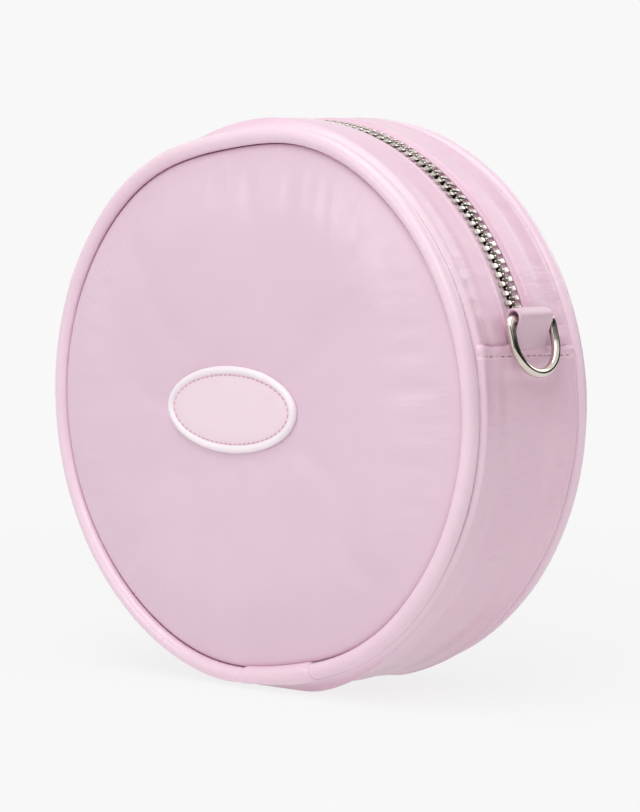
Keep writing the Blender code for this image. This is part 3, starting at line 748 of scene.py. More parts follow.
def make_disc(name):
    # Disc, edge roll and seam allowance as one sheet, front side only; gives the count of vertices inside the
    # roll too
    inner = panel_corner[0] - roll_width - 0.0016
    x, z = disc_places(grid_count, inner)
    places = np.stack([x, -dome_depth(np.hypot(x, z)), z], axis=-1).reshape(-1, 3) + np.array(centre)
    index = np.arange((grid_count + 1) ** 2).reshape(grid_count + 1, -1)
    faces = quads_between(index)
    edge = np.concatenate([index[0, :-1], index[:-1, -1], index[-1, :0:-1], index[:0:-1, 0]])
    turns = round_axis(places[edge])[1]
    rolls = panel_corner[0] - roll_width * (1 - np.sin(np.linspace(0, math.pi / 2, 6)))
    rings = [(radius, float(dome_depth(radius))) for radius in rolls]
    rings += [tuple(np.array(panel_corner) * (1 - t) + np.array(panel_flange) * t)
              for t in (0.1, 0.35, 0.7, 1.0)]
    places = list(places)
    last = edge
    for radius, depth in rings:
        start = len(places)
        places += list(ring_place(radius, depth, turns))
        new = np.arange(start, start + len(edge))
        faces += np.stack([last, np.roll(last, -1), np.roll(new, -1), new], axis=-1).tolist()
        last = new
    return plain_mesh(name, places, faces), len(index.flat)


sample, inner_count = make_disc("disc_sample")
print("disc with", len(sample.vertices), "vertices, of which", inner_count, "inside the roll")
bpy.data.meshes.remove(sample)

# %% [markdown]
# ## Air and tension in a panel
# A real panel isn't a lathe-turned dish: the leather is a touch larger than the board, so it lifts
# between the seam and the sewn patch. Blender's cloth gives that: the seam and the patch's
# footprint are pinned, a little pressure lifts the rest, and the lift is capped. Gravity is off,
# because the foam board carries the leather.

# %% Cloth pass for a panel
patch_middle = Vector((-0.0059, 0, centre.z - 0.0016))
patch_half = (0.0293, 0.01450)
lift_cap, air_frames = 0.0011, 20


def pin_group(thing, inner_count, patch_side):
    # Holds the edge roll, the seam allowance and the leather under the patch
    held = thing.vertex_groups.new(name="held")
    for vertex in thing.data.vertices:
        x, _, z = vertex.co - centre
        radius = math.hypot(x, z)
        weight = 1.0 if vertex.index >= inner_count else max(0.0, min(1.0, (radius - 0.078) / 0.006))
        if patch_side:
            dx = (vertex.co.x - patch_middle.x) / (patch_half[0] + 0.002)
            dz = (vertex.co.z - patch_middle.z) / (patch_half[1] + 0.002)
            weight = max(weight, 1.0 if dx * dx + dz * dz < 1 else 0.0)
        if weight:
            held.add([vertex.index], weight, "REPLACE")
    return held.name


def lifted(name, mesh, inner_count, patch_side):
    # Runs the cloth and gives the disc's places after it, with the lift capped
    thing = in_scene(name, mesh)
    rest = mesh_places(mesh)
    cloth = thing.modifiers.new("air", "CLOTH")
    cloth.settings.quality = 6
    cloth.settings.mass = 0.25
    cloth.settings.tension_stiffness = 12
    cloth.settings.compression_stiffness = 12
    cloth.settings.bending_stiffness = 0.6
    cloth.settings.vertex_group_mass = pin_group(thing, inner_count, patch_side)
    cloth.settings.use_pressure = True
    cloth.settings.uniform_pressure_force = 1.6
    cloth.settings.shrink_min = -0.006
    cloth.settings.effector_weights.gravity = 0
    cloth.collision_settings.use_collision = False
    cloth.point_cache.frame_start, cloth.point_cache.frame_end = 1, air_frames
    for moment in range(1, air_frames + 1):
        bpy.context.scene.frame_set(moment)
    shaped = thing.evaluated_get(bpy.context.evaluated_depsgraph_get()).to_mesh()
    moved = mesh_places(shaped) - rest
    size = np.linalg.norm(moved, axis=1, keepdims=True)
    capped = moved * (lift_cap * np.tanh(size / lift_cap) / np.maximum(size, 1e-9))
    print(name, "lifted by at most", round(float(size.max()) * 1000, 2), "mm before the cap")
    bpy.context.scene.frame_set(1)
    bpy.data.objects.remove(thing)
    return rest + capped


# %% [markdown]
# ## Puckers at the seam
# Where the disc was eased into the curve, its edge gathers in short puckers that die out after a
# centimetre or two. In the photograph they are plainest at the upper right. They are pushed into
# the mesh along the panel's depth, strongest at the seam, with lengths from a fixed set of waves.

# %% Panels
def puckers(places, strongest, spread, height):
    # Depth to add at each place near the seam, from waves round the drum
    radius, turn, _ = round_axis(places)
    off = np.abs((turn - strongest + 180) % 360 - 180)
    here = 0.05 + 0.95 * np.exp(-(off / spread) ** 2)
    reach = np.clip((radius - 0.068) / 0.009, 0, 1) ** 2 * np.clip((0.0865 - radius) / 0.005, 0, 1)
    waves = np.sin(np.radians(turn * 71 + 30)) + 0.7 * np.sin(np.radians(turn * 97 + 110))
    waves += 0.6 * np.sin(np.radians(turn * 53 + 200))
    return height * here * reach * waves


def make_panel(name, side, strongest, node):
    # A lifted disc with its puckers, strongest at one angle, mirrored for the rear and thickened
    mesh, inner = make_disc(name)
    places = lifted(name + "_form", mesh, inner, side > 0)
    radius, _, flat = round_axis(places)
    slow = 0.00014 * np.sin(flat[:, 0] * 62 + 1.0) * np.cos(flat[:, 2] * 48 + 0.4)
    slow *= np.clip((0.084 - radius) / 0.02, 0, 1)
    places[:, 1] -= puckers(places, strongest, 20.0, 0.00005) + slow
    places = facing_front(side, stood_on_ground(places))
    sheet = plain_mesh(name, places, [list(face.vertices) for face in mesh.polygons])
    thick_sheet(name, sheet, side, node)


def thick_sheet(name, sheet, side, node):
    # Subdivides the outer face once, then gives it the leather's thickness on its inner side
    bm = bmesh.new()
    bm.from_mesh(sheet)
    bmesh.ops.recalc_face_normals(bm, faces=bm.faces)
    if sum(face.normal.y * face.calc_area() for face in bm.faces) * side > 0:
        bmesh.ops.reverse_faces(bm, faces=bm.faces)
    bm.to_mesh(sheet)
    bm.free()
    thing = in_scene(name, sheet)
    finer = thing.modifiers.new("finer", "SUBSURF")
    finer.levels = finer.render_levels = 1
    solid = thing.modifiers.new("leather", "SOLIDIFY")
    solid.thickness = leather
    solid.offset = -1
    solid.use_even_offset = False
    shaped = thing.evaluated_get(bpy.context.evaluated_depsgraph_get())
    made = bpy.data.meshes.new_from_object(shaped)
    bpy.data.objects.remove(thing)
    made.shade_smooth()
    panel = add_piece(name, made, panel_leather, "leather", "bag", node, bends=side > 0)


make_panel("front_disc", 1, 47.0, "front_panel")
make_panel("rear_disc", -1, 215.0, "rear_panel")

# %% [markdown]
# ## Boards and linings behind the panels
# Behind the leather lie a foam board and a thin woven lining, which turns into the seam with the
# rest. The lining shows only when the mouth opens. Each is a section turned about the bag's axis,
# and the lining, which nothing holds in the middle, gets shallow wrinkles.

# %% Turned pieces
def turned_mesh(name, outline, side, steps=120, ripple=0.0):
    # Section from the axis out and back to it, carried round the bag's axis
    outline = np.array(outline, float)
    turns = np.arange(steps) * 360.0 / steps
    places = [ring_place(0.0, outline[0][1], 0.0)]
    for radius, depth in outline[1:-1]:
        wave = ripple * (np.sin(np.radians(turns * 5)) + 0.6 * np.sin(np.radians(turns * 11 + radius * 9000)))
        wave = wave * min(1.0, radius / 0.03) * (1.0 if radius < 0.080 else 0.0)
        places += list(ring_place(radius, depth + wave, turns))
    places.append(ring_place(0.0, outline[-1][1], 0.0))
    rows = len(outline) - 2
    index = 1 + np.arange(rows * steps).reshape(rows, steps)
    around = np.roll(index, -1, axis=1)
    faces = [(0, int(b), int(a)) for a, b in zip(index[0], around[0])]
    faces += np.stack([index[:-1], around[:-1], around[1:], index[1:]], axis=-1).reshape(-1, 4).tolist()
    last = len(places) - 1
    faces += [(last, int(a), int(b)) for a, b in zip(index[-1], around[-1])]
    return tidied(plain_mesh(name, facing_front(side, np.array(places)), faces))


def dome_line(distance, edge, count=14):
    # The panel's dome at a distance under its outer surface, from the axis to an edge
    radii = np.linspace(0, edge, count)
    depths = panel_corner[1] + dome_rise * dome_share(radii)
    return [(radius, depth - distance) for radius, depth in zip(radii, depths)]


board_edge = panel_corner[0] - 0.0085
board_thickness, lining = 0.0020, 0.0004


def make_board(name, side):
    over = dome_line(leather + gap, board_edge)
    under = dome_line(leather + gap + board_thickness, board_edge)
    mesh = turned_mesh(name + "_board", over + under[::-1], side)
    add_piece(name + "_board", mesh, foam_board, "foam", "bag", name + "_stiffener", bends=side > 0)


def make_panel_lining(name, side):
    dome = dome_line(leather + board_thickness + 2 * gap, board_edge - 0.001)
    seam = [seam_spot(corner_along + 0.0028, -flange_offset - leather - gap),
            seam_spot(allowance, -flange_offset - leather - gap)]
    path = np.array(dome + seam)
    outline = sheet_section(path, lining)
    outline[0, 0] = outline[-1, 0] = 0.0
    mesh = turned_mesh(name + "_inner_cloth", outline, side, ripple=0.00008)
    return add_piece(name + "_inner_cloth", mesh, lining_weave, "lining", "bag", name + "_lining",
                     bends=side > 0), path


def turned_area(path):
    # Area of a path turned about the bag's axis
    return sum(math.pi * (a[0] + b[0]) * math.dist(a, b) for a, b in zip(path, path[1:]))


for name, side in sides:
    make_board(name, side)
    cloth, path = make_panel_lining(name, side)
    area = turned_area(path)


# %% Binding of the piped seams
def make_binding(name, side):
    # Narrow tape folded round the raw edges of a piped seam
    end, leg = allowance + gap, 0.0034
    over = flange_offset + leather + gap + lining + gap
    fold = [(end - leg, over), (end + 0.0002, over), (end + 0.0002, -over), (end - leg, -over)]
    path = [seam_spot(*spot) for spot in rounded(fold, 0.0006, 3)]
    section = sheet_section(evened(path, 0.0012), -0.0004)
    turns = np.arange(0, 360, 2.0)
    rows = [stood(section + (0, 0.00004 * math.sin(turn)), turn) for turn in turns]
    mesh = grid_mesh(name + "_binding_tape", facing_front(side, np.array(rows)), round_trip=True)
    add_piece(name + "_binding_tape", mesh, binding_weave, "binding", "bag", name + "_seam_binding",
              bends=side > 0)


for name, side in sides:
    make_binding(name, side)

# %% [markdown]
# ## The gusset's section
# From the seam the gusset rises to a soft ridge, because the stiff seam allowance lies under it. It
# falls from the ridge to a level stretch and then sinks a little toward the middle. The same
# half-section serves the lower gusset, which is mirrored, and the two zip strips, which end in a
# folded hem.

# %% Gusset section
shoulder_width, shoulder_flat, slope_width = 0.0055, 0.0035, 0.0070
ridge_width, ridge_rise = 0.0034, 0.0011
crest_height = outer_radius - 0.0006
sag = 0.0010
strip_level = crest_height + 0.0002


def gusset_half(crest, middle, slope=slope_width):
    # Outer surface from the seam allowance's end over the ridge of the shoulder to the level middle
    level = gusset_corner[1] - shoulder_width - shoulder_flat
    rise = (crest + 0.2 * ridge_rise, gusset_corner[1] - 0.0013)
    ridge = (crest + ridge_rise, gusset_corner[1] - ridge_width)
    beside_bead = (gusset_corner[0] + 0.0028, gusset_corner[1] - 0.0001)
    corners = [gusset_flange, gusset_corner, beside_bead, rise, ridge,
               (crest + ridge_rise / 3, gusset_corner[1] - shoulder_width), (crest - 0.00002, level)]
    made = [tuple(spot) for spot in rounded(corners, [0.0004, 0.0004, 0.0011, 0.0013, 0.0022])]
    for t in np.linspace(0.12, 1, 8):
        fall = t * t * (3 - 2 * t)
        made.append((crest - (crest - middle) * fall, level - slope * t))
    return np.array(made)


print("gusset crest", crest_height, "zip strips' level", strip_level)

# %% [markdown]
# ## Lower gusset
# One band runs from side seam to side seam under the bag. Both its ends are folded over and
# topstitched on the zip strips' ends, so each end stands a millimetre proud and has a rounded nose.
# It bulges a little at the foot, where the bag rests, and has soft waves and a few slanting creases
# where the bag's side was pressed.

# %% Lower gusset band
side_seam = 13.5
fold_rise, fold_reach, nose = 0.0011, 0.0110, 0.0024
cover_rise, cover_half = 0.0014, 0.0108
stitch_inset = 0.0038
bottom_bulge = 0.0012


def bottom_weight(turn):
    # One over the foot, fading to nothing an eighth of a turn beyond it
    off = max(abs((turn - 270 + 180) % 360 - 180) - 8.5, 0)
    return math.cos(math.radians(2 * min(off, 45))) ** 2


def crease(turn, depth, at, across, length, width, slant, height):
    # A shallow ridge that crosses the band at a slant
    u = (turn - at) * math.radians(1) * 0.094
    v = depth - across
    along = u * math.cos(slant) + v * math.sin(slant)
    off = -u * math.sin(slant) + v * math.cos(slant)
    return height * np.exp(-(along / length) ** 2) * (np.exp(-(off / width) ** 2)
                                                     - 0.6 * np.exp(-((off - 1.6 * width) / width) ** 2))


def band_waves(turn, depth):
    # Height of the soft waves and creases of the lower gusset
    slow, slower = math.radians(turn * 4.2), math.radians(turn * 1.7)
    soft = 0.00022 * np.sin(slow + depth * 90) * np.cos(slower + depth * 60)
    soft += 0.00008 * np.sin(math.radians(turn * 13 + 30) + depth * 210)
    marks = [(352, 0.004, 0.011, 0.0016, 0.35, 0.00022), (347, -0.006, 0.012, 0.0014, 0.5, 0.00018),
             (339, 0.002, 0.013, 0.0018, 0.2, 0.00020), (330, -0.004, 0.010, 0.0014, 0.6, 0.00014),
             (318, 0.006, 0.012, 0.0020, -0.3, 0.00016), (195, 0.003, 0.011, 0.0016, -0.4, 0.00018),
             (206, -0.005, 0.012, 0.0018, -0.2, 0.00016)]
    for at, across, length, width, slant, height in marks:
        soft = soft + crease(turn, depth, at, across, length, width, slant, height)
    return soft


def end_slant(turn, depth):
    # Degrees to add near the right end, where the real seam climbs a little toward the front
    near = max(0.0, 1 - max(0.0, 360 + side_seam - turn) / 14) ** 1.5
    return near * (0.026 * np.asarray(depth) * 1000 - 0.575)


def end_cover(turn, depth, level):
    # Extra height where a folded end fills up to the zip strips and bulges over the ring's tab
    share = fold_at(turn) / fold_rise
    over = np.clip((cover_half - np.abs(depth)) / 0.0035, 0, 1)
    inward = np.clip((0.0165 - np.abs(depth)) / 0.006, 0, 1)
    swell = cover_rise * over * over * (3 - 2 * over)
    return level * share * ((strip_level - crest_height + sag) * inward + swell)


def band_section(turn, rise, pinch=1.0):
    # Closed section at one angle; pinch draws it to its middle surface at a rounded end
    base = gusset_half(crest_height, crest_height - sag)
    whole = evened(np.vstack([base, (base * (1, -1))[::-1]]), 0.0016)
    lifted_share = np.clip((whole[:, 0] - gusset_corner[0]) / (crest_height - sag - gusset_corner[0]), 0, 1)
    inside = np.abs(whole[:, 1]) < gusset_corner[1]
    level = np.where(inside, lifted_share, 0)
    middle = np.clip(1 - np.abs(whole[:, 1]) / 0.016, 0, 1)
    bulge = bottom_bulge * bottom_weight(turn) + sag * bottom_weight(turn) * middle * 0.9
    waves = band_waves(turn, whole[:, 1]) * level * np.clip(1.2 - rise / fold_rise, 0.2, 1)
    inner = offset(whole, leather)
    outer = whole.copy()
    cover = end_cover(turn, whole[:, 1], level)
    off_end = min(abs(turn - 180 + side_seam), abs(turn - 360 - side_seam)) * math.radians(1) * outer_radius
    groove = 0.00030 * math.exp(-((off_end - stitch_inset) / 0.0006) ** 2)
    outer[:, 0] += level * (bulge + rise - groove) + waves + cover
    inner[:, 0] += level * bulge + waves + cover
    mid = (outer + inner) / 2
    outer, inner = mid + (outer - mid) * pinch, mid + (inner - mid) * pinch
    return np.vstack([outer, inner[::-1]])


def fold_at(turn):
    # How far the folded ends stand proud at this angle
    off = min(abs(turn - (180 - side_seam)), abs(turn - (360 + side_seam))) * math.radians(1) * outer_radius
    return fold_rise * max(0.0, 1 - off / fold_reach) ** 0.8


def band_turns():
    # Angles and pinches from the left end under the bag to the right end, with rounded noses
    low, high = 180 - side_seam, 360 + side_seam
    small = math.degrees(nose / outer_radius)
    curl = [(1 - math.sin(t), math.cos(t)) for t in np.radians((90, 78, 64, 48, 32, 16, 0))]
    turns = [(low + small * s, max(p, 0.42)) for s, p in curl]
    fine = np.linspace(0.12, 3.0, 20)
    inner = np.concatenate([low + small + fine, np.linspace(low + small + 3.9, high - small - 3.9, 184),
                            (high - small - fine)[::-1]])
    turns += [(turn, 1.0) for turn in inner]
    turns += [(high - small * s, max(p, 0.42)) for s, p in curl[::-1]]
    return turns


def make_band():
    rows = []
    for turn, pinch in band_turns():
        section = band_section(turn, fold_at(turn), pinch)
        rows.append(ring_place(section[:, 0], section[:, 1], turn + end_slant(turn, section[:, 1])))
    grid = stood_on_ground(np.array(rows))
    add_piece("lower_band", grid_mesh("lower_band", grid), band_leather, "leather", "bag", "lower_gusset")


make_band()


# %% Foam and lining of the lower gusset
def make_band_layers():
    # Foam under the lower gusset's level part, and the cloth that hides it and both seams
    end = side_seam + math.degrees(fold_reach / hem_radius)
    for name, node, finish, slot in (("band_foam", "lower_gusset_foam", foam_board, "foam"),
                                     ("band_inner_cloth", "lower_gusset_lining", lining_weave, "lining")):
        foam = name == "band_foam"
        limit = end if foam else side_seam + 0.3
        rows = []
        for turn in np.linspace(180 - limit, 360 + limit, 130):
            level = crest_height - sag + (bottom_bulge + sag * 0.9) * bottom_weight(turn) - leather - gap
            if foam:
                path = [(level, 0.0138), (level, -0.0138)]
                section = sheet_section(evened(path, 0.003), 0.0015)
            else:
                seam = [seam_spot(allowance, flange_offset + leather + gap),
                        seam_spot(corner_along + 0.002, flange_offset + leather + gap),
                        (level - 0.0018, 0.0143)]
                whole = seam + [(radius, -depth) for radius, depth in reversed(seam)]
                section = sheet_section(evened(rounded(whole, 0.0012, 3), 0.003), lining)
                section[:, 0] += 0.00006 * np.sin(math.radians(turn * 9) + section[:, 1] * 300) - 0.00006
            rows.append(stood(section, turn))
        grid = np.array(rows)
        made = add_piece(name, grid_mesh(name, grid), finish, slot, "bag", node)
        if not foam:
            length = math.radians(180 + 2 * limit) * 0.0895


make_band_layers()

# %% [markdown]
# ## Zip strips
# A leather strip lies on each side of the zipper. Its edge along the zipper is folded under and
# topstitched through tape and hem, so it ends in a soft roll with a shallow stitched groove two
# millimetres back, and the leather puckers a little between stitches.

# %% Zip strips
slot_half, hem_width, hem = 0.0051, 0.0076, 0.0014
groove_back, hem_dip, hem_stitch = 0.0023, 0.0003, 0.0028
fold_round = (hem + gap - hem_dip) / 2 - 0.00002


def strip_section(turn, side):
    # Closed section of a zip strip, hem and all
    path = list(gusset_half(crest_height - 0.0002, strip_level, 0.0032))
    edge = strip_level - hem_dip
    groove = slot_half + groove_back
    path += [(strip_level + 0.0001, groove + 0.0018), (strip_level + 0.0001, groove + 0.0008),
             (strip_level - 0.0009, groove), (edge + 0.00012, groove - 0.0007)]
    fold = [(edge - fold_round + fold_round * math.cos(t), slot_half + fold_round - fold_round * math.sin(t))
            for t in np.linspace(0.25, math.pi, 8)]
    under = [(strip_level - hem - gap / 2, slot_half + hem_width * 0.6),
             (strip_level - hem, slot_half + hem_width),
             (strip_level - leather - 0.0001, slot_half + hem_width)]
    path = np.array(path)
    back = offset(path[:-3], leather)[::-1]
    section = np.vstack([evened(path, 0.0014), fold, under, back])
    stitch = math.sin(2 * math.pi * turn * math.radians(1) * hem_radius / hem_stitch)
    near_hem = np.exp(-((section[:, 1] - slot_half - 0.0012) / 0.0016) ** 2)
    ease = np.exp(-((section[:, 1] - 0.0185) / 0.0035) ** 2)
    outer = np.clip((section[:, 0] - (strip_level - 0.0006)) / 0.0004, 0, 1)
    pull = 0.00005 * stitch * near_hem
    strain = 0.00005 * math.sin(math.radians(turn * 83)) + 0.00004 * math.sin(math.radians(turn * 57 + 60))
    slow = 0.00016 * math.sin(math.radians(turn * 6.0 + 90 * side))
    slow = slow * np.clip((0.022 - section[:, 1]) / 0.01, 0, 1)
    slow = slow * np.clip((section[:, 1] - slot_half) / 0.004, 0, 1)
    section[:, 0] += outer * (pull + strain * ease * (1 + 0.6 * math.cos(math.radians(turn - 30)))) + slow
    return section


def make_strip(name, side):
    turns = np.linspace(side_seam - 1.6, 180 - side_seam + 0.25, 260)
    rows = [stood(strip_section(turn, side), turn) for turn in turns]
    mesh = grid_mesh(name + "_zip_band", facing_front(side, np.array(rows)))
    add_piece(name + "_zip_band", mesh, band_leather, "leather", "bag", name + "_zip_strip", bends=side > 0)


for name, side in sides:
    make_strip(name, side)


# %% Tapes and strip linings
tape_level = strip_level - hem - gap
tape_inner, tape_outer, tape_thick = 0.0015, 0.0124, 0.0006


def make_tape(name, side):
    # Woven tape with a thicker corded edge where the teeth are clamped
    cord = [(tape_level - 0.0003 + 0.0004 * math.cos(t), tape_inner + 0.0004 - 0.0004 * math.sin(t))
            for t in np.linspace(0, math.pi, 7)]
    top = [(tape_level, tape_outer), (tape_level, slot_half), (tape_level, tape_inner + 0.0009)]
    low = [(tape_level - tape_thick, tape_inner + 0.0009), (tape_level - tape_thick, tape_outer)]
    section = np.array(list(evened(top, 0.002)) + cord + list(evened(low, 0.002)))
    rows = [stood(section, turn) for turn in np.linspace(side_seam - 1.3, 180 - side_seam, 200)]
    mesh = grid_mesh(name + "_tape", facing_front(side, np.array(rows)) + (0, zip_setback, 0))
    add_piece(name + "_tape", mesh, tape_weave, "tape", "bag", name + "_zip_tape", bends=side > 0)


def make_strip_lining(name, side):
    # Cloth from the piped seam to the zipper's tape
    rows = []
    level = tape_level - tape_thick - gap
    path = [seam_spot(allowance, flange_offset + leather + gap),
            seam_spot(corner_along + 0.0022, flange_offset + leather + gap),
            (level, tape_outer + 0.0012), (level, slot_half + 0.0012)]
    path = evened(rounded(path, 0.0015, 3), 0.003)
    for turn in np.linspace(side_seam + 0.2, 180 - side_seam - 0.2, 100):
        section = sheet_section(path, lining)
        section[:, 0] += 0.00005 * np.sin(math.radians(turn * 11) + section[:, 1] * 260) - 0.00005
        rows.append(stood(section, turn))
    mesh = grid_mesh(name + "_strip_cloth", facing_front(side, np.array(rows)))
    cloth = add_piece(name + "_strip_cloth", mesh, lining_weave, "lining", "bag",
                      name + "_strip_lining", bends=side > 0)


for name, side in sides:
    make_tape(name, side)
    make_strip_lining(name, side)

# %% [markdown]
# ## Zipper teeth
# Each metal tooth is clamped over the tape's corded edge: two legs grip the tape, a narrow neck
# follows, and the head carries a small nib that sits in the hollow of the next tooth. The two rows
# lie half a pitch apart. All teeth of a row are one piece, because nothing moves them singly, but
# each is shaped and placed by itself.

# %% Tooth shape
pitch, tooth_half_height = 0.0032, 0.0014
zip_shift = Vector((0, zip_setback, 0))
tooth_level = tape_level - tape_thick / 2
first_tooth, slider_turn = 17.6, 152.0


def on_arc(turn, radius):
    # Frame on the gusset: X along the zipper to the left, Y to the front, Z straight out
    t = math.radians(turn)
    along, out = Vector((-math.sin(t), 0, math.cos(t))), Vector((math.cos(t), 0, math.sin(t)))
    spin = Matrix((along, Vector((0, -1, 0)), out)).transposed().to_4x4()
    return Matrix.Translation(centre + zip_shift + out * radius) @ spin


def soft_box(long, high, bevel):
    # Corners of a rectangle with cut corners, as places across the tooth
    a, b = long / 2, high / 2
    return [(a, b - bevel), (a - bevel, b), (bevel - a, b), (-a, b - bevel),
            (-a, bevel - b), (bevel - a, -b), (a - bevel, -b), (a, bevel - b)]


def lofted_part(sections):
    # Places and faces of a short loft: sections are (across, middle height, long, high, bevel)
    places = []
    for across, level, long, high, bevel in sections:
        places += [Vector((x, across, level + z)) for x, z in soft_box(long, high, bevel)]
    return places, tube_faces(len(sections))


def nib_part(across, level, radius, height):
    # Small dome with a flat foot
    places = []
    for share, lift in ((1.0, 0.0), (0.86, 0.5), (0.5, 0.87)):
        for i in range(8):
            t = math.pi / 4 * i
            places.append(Vector((radius * share * math.cos(t), across + 0.8 * radius * share * math.sin(t),
                                  level + height * lift)))
    return places, tube_faces(3)


def tooth_parts():
    # One tooth of the front row, its head toward the rear
    head = lofted_part([(-0.0010, 0, 0.0008, 0.0016, 0.0002), (-0.0007, 0, 0.00130, 0.0023, 0.0003),
                        (0.0001, 0, 0.00150, 0.0026, 0.0003), (0.0010, 0, 0.00140, 0.0026, 0.0003),
                        (0.0016, 0, 0.00175, 0.0028, 0.0003), (0.0024, 0, 0.00185, 0.0028, 0.0003)])
    legs = [lofted_part([(0.0023, s * 0.00092, 0.00185, 0.0009, 0.0002),
                         (0.0031, s * 0.00090, 0.00175, 0.0009, 0.0002),
                         (0.0037, s * 0.00078, 0.00130, 0.0006, 0.0001)]) for s in (1, -1)]
    nib = nib_part(0.00040, tooth_half_height - 0.0001, 0.00056, 0.00038)
    return [head, *legs, nib]


tooth_count = int(math.radians(slider_turn - first_tooth) * tooth_level / pitch) + 1


def make_tooth_row(name, side):
    # Teeth a pitch apart along the arc; the rear row starts half a pitch later
    shape = tooth_parts()
    placed = []
    for i in range(tooth_count):
        shift = 0.0 if side > 0 else 0.5
        turn = first_tooth + math.degrees((i + shift) * pitch / tooth_level)
        spot = on_arc(turn, tooth_level)
        for places, faces in shape:
            placed.append(([spot @ Vector((v.x, side * v.y, v.z)) for v in places], faces))
    mesh = joined_mesh(name + "_tooth_row", placed)
    add_piece(name + "_tooth_row", mesh, tooth_nickel, "metal", "bag", name + "_teeth", bends=side > 0)


for name, side in sides:
    make_tooth_row(name, side)
print(tooth_count, "teeth in each row")


# %% Stops at the zipper's ends
def make_clamp(name, node):
    # Folded metal clamp in the place of the CAD stop
    low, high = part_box(node)
    middle = (low + high) / 2
    turn = math.degrees(math.atan2(middle.z - centre.z, middle.x))
    half = (high.y - low.y) / 2
    spot = on_arc(turn, tooth_level)
    crown = [(-half, 0, 0.0018, 0.0014, 0.0003), (-half + 0.0004, 0, 0.0024, 0.0028, 0.0004),
             (half - 0.0004, 0, 0.0024, 0.0028, 0.0004), (half, 0, 0.0018, 0.0014, 0.0003)]
    places, faces = lofted_part(crown)
    placed = [spot @ Vector((v.x, v.y - middle.y, v.z)) for v in places]
    add_piece(name, joined_mesh(name, [(placed, faces)]), tooth_nickel, "metal", "bag", node)


make_clamp("zipper_foot_clamp", "bottom_stop")
make_clamp("front_end_clamp", "front_top_stop")
make_clamp("rear_end_clamp", "rear_top_stop")

# %% [markdown]
# ## Slider and pull
# The slider is a die casting: two plates that hold the rows from above and below, a wedge between
# them that parts the rows, and a bridge that the pull hangs on. Its plates are drawn as outlines
# with rounded corners and the edges are bevelled, as a casting's are.

# %% Plates from outlines
def plate_mesh(name, outlines, thickness, bevel, spot):
    # Flat piece with rounded edges; outlines after the first are holes
    curve = bpy.data.curves.new(name, "CURVE")
    curve.dimensions = "2D"
    curve.fill_mode = "BOTH"
    curve.extrude = thickness / 2 - bevel
    curve.bevel_depth = bevel
    curve.bevel_resolution = 2
    curve.offset = -bevel
    for outline in outlines:
        spline = curve.splines.new("POLY")
        spline.points.add(len(outline) - 1)
        for point, (x, y) in zip(spline.points, outline):
            point.co = (x, y, 0, 1)
        spline.use_cyclic_u = True
    thing = in_scene(name, curve)
    bpy.context.view_layer.update()
    made = bpy.data.meshes.new_from_object(thing.evaluated_get(bpy.context.evaluated_depsgraph_get()))
    bpy.data.objects.remove(thing)
    places = [spot @ vertex.co for vertex in made.vertices]
    faces = [tuple(face.vertices) for face in made.polygons]
    bpy.data.meshes.remove(made)
    return places, faces


# %% Slider
plate_thick, slider_half, slider_long = 0.0011, 0.0046, 0.0060
sagitta = tooth_level - math.sqrt(tooth_level ** 2 - slider_long ** 2)
top_low = tooth_half_height + gap
low_high = -tooth_half_height - gap - sagitta
pivot_rise = top_low + plate_thick + 0.0014


def make_slider():
    # Two plates, their rims, the wedge between them and the bridge on top
    spot = on_arc(slider_turn, tooth_level)
    nose, inner = slider_half - 0.0002, slider_half - 0.0006
    shield = [(-slider_long, nose), (0.0012, slider_half), (slider_long, slider_half),
              (slider_long, -slider_half), (0.0012, -slider_half), (-slider_long, -nose)]
    outline = closed_round(shield, 0.0012)
    parts = []
    for level in (top_low + plate_thick / 2, low_high - plate_thick / 2):
        place = spot @ Matrix.Translation((0, 0, level))
        parts.append(plate_mesh("plate", [outline], plate_thick, 0.00025, place))
    for side in (1, -1):
        for high, low in ((top_low + 0.0003, tape_thick / 2 + gap),
                          (-tape_thick / 2 - gap - sagitta - 0.0002, low_high - 0.0003)):
            rim = [(-slider_long + 0.0004, side * nose), (0.0012, side * slider_half),
                   (slider_long - 0.0004, side * slider_half), (slider_long - 0.0004, side * inner),
                   (0.0012, side * inner), (-slider_long + 0.0004, side * (inner - 0.0001))]
            place = spot @ Matrix.Translation((0, 0, (high + low) / 2))
            parts.append(plate_mesh("rim", [closed_round(rim, 0.0003, 2)], high - low, 0.0001, place))
    wedge = closed_round([(0.0008, 0.0), (0.0032, 0.0010), (0.0046, 0.0009), (0.0046, -0.0009),
                          (0.0032, -0.0010)], 0.0004, 2)
    place = spot @ Matrix.Translation((0, 0, (top_low + low_high) / 2))
    parts.append(plate_mesh("wedge", [wedge], top_low - low_high + 0.0004, 0.0001, place))
    parts.append(bridge_part(spot))
    mesh = joined_mesh("zip_slider_casting", parts)
    add_piece("zip_slider_casting", mesh, slider_nickel, "metal", "zip_slider", "slider")


def bridge_part(spot):
    # Arch over the pull's bar, a flat rounded strap of metal
    foot = top_low + plate_thick - 0.0003
    outer, high = 0.0022, pivot_rise + 0.0014 + 0.0005
    line = np.array(rounded([(-outer, foot), (-outer, high), (outer, high), (outer, foot)], 0.0012, 6))
    ways = np.gradient(line, axis=0)
    ways /= np.linalg.norm(ways, axis=1, keepdims=True)
    places = []
    for (x, z), (wx, wz) in zip(line, ways):
        for across, out in soft_box(0.0020, 0.0010, 0.00025):
            places.append(spot @ Vector((x - wz * out, across, z + wx * out)))
    return places, tube_faces(len(line))


make_slider()


# %% Pull tab
pull_lean = 14.157


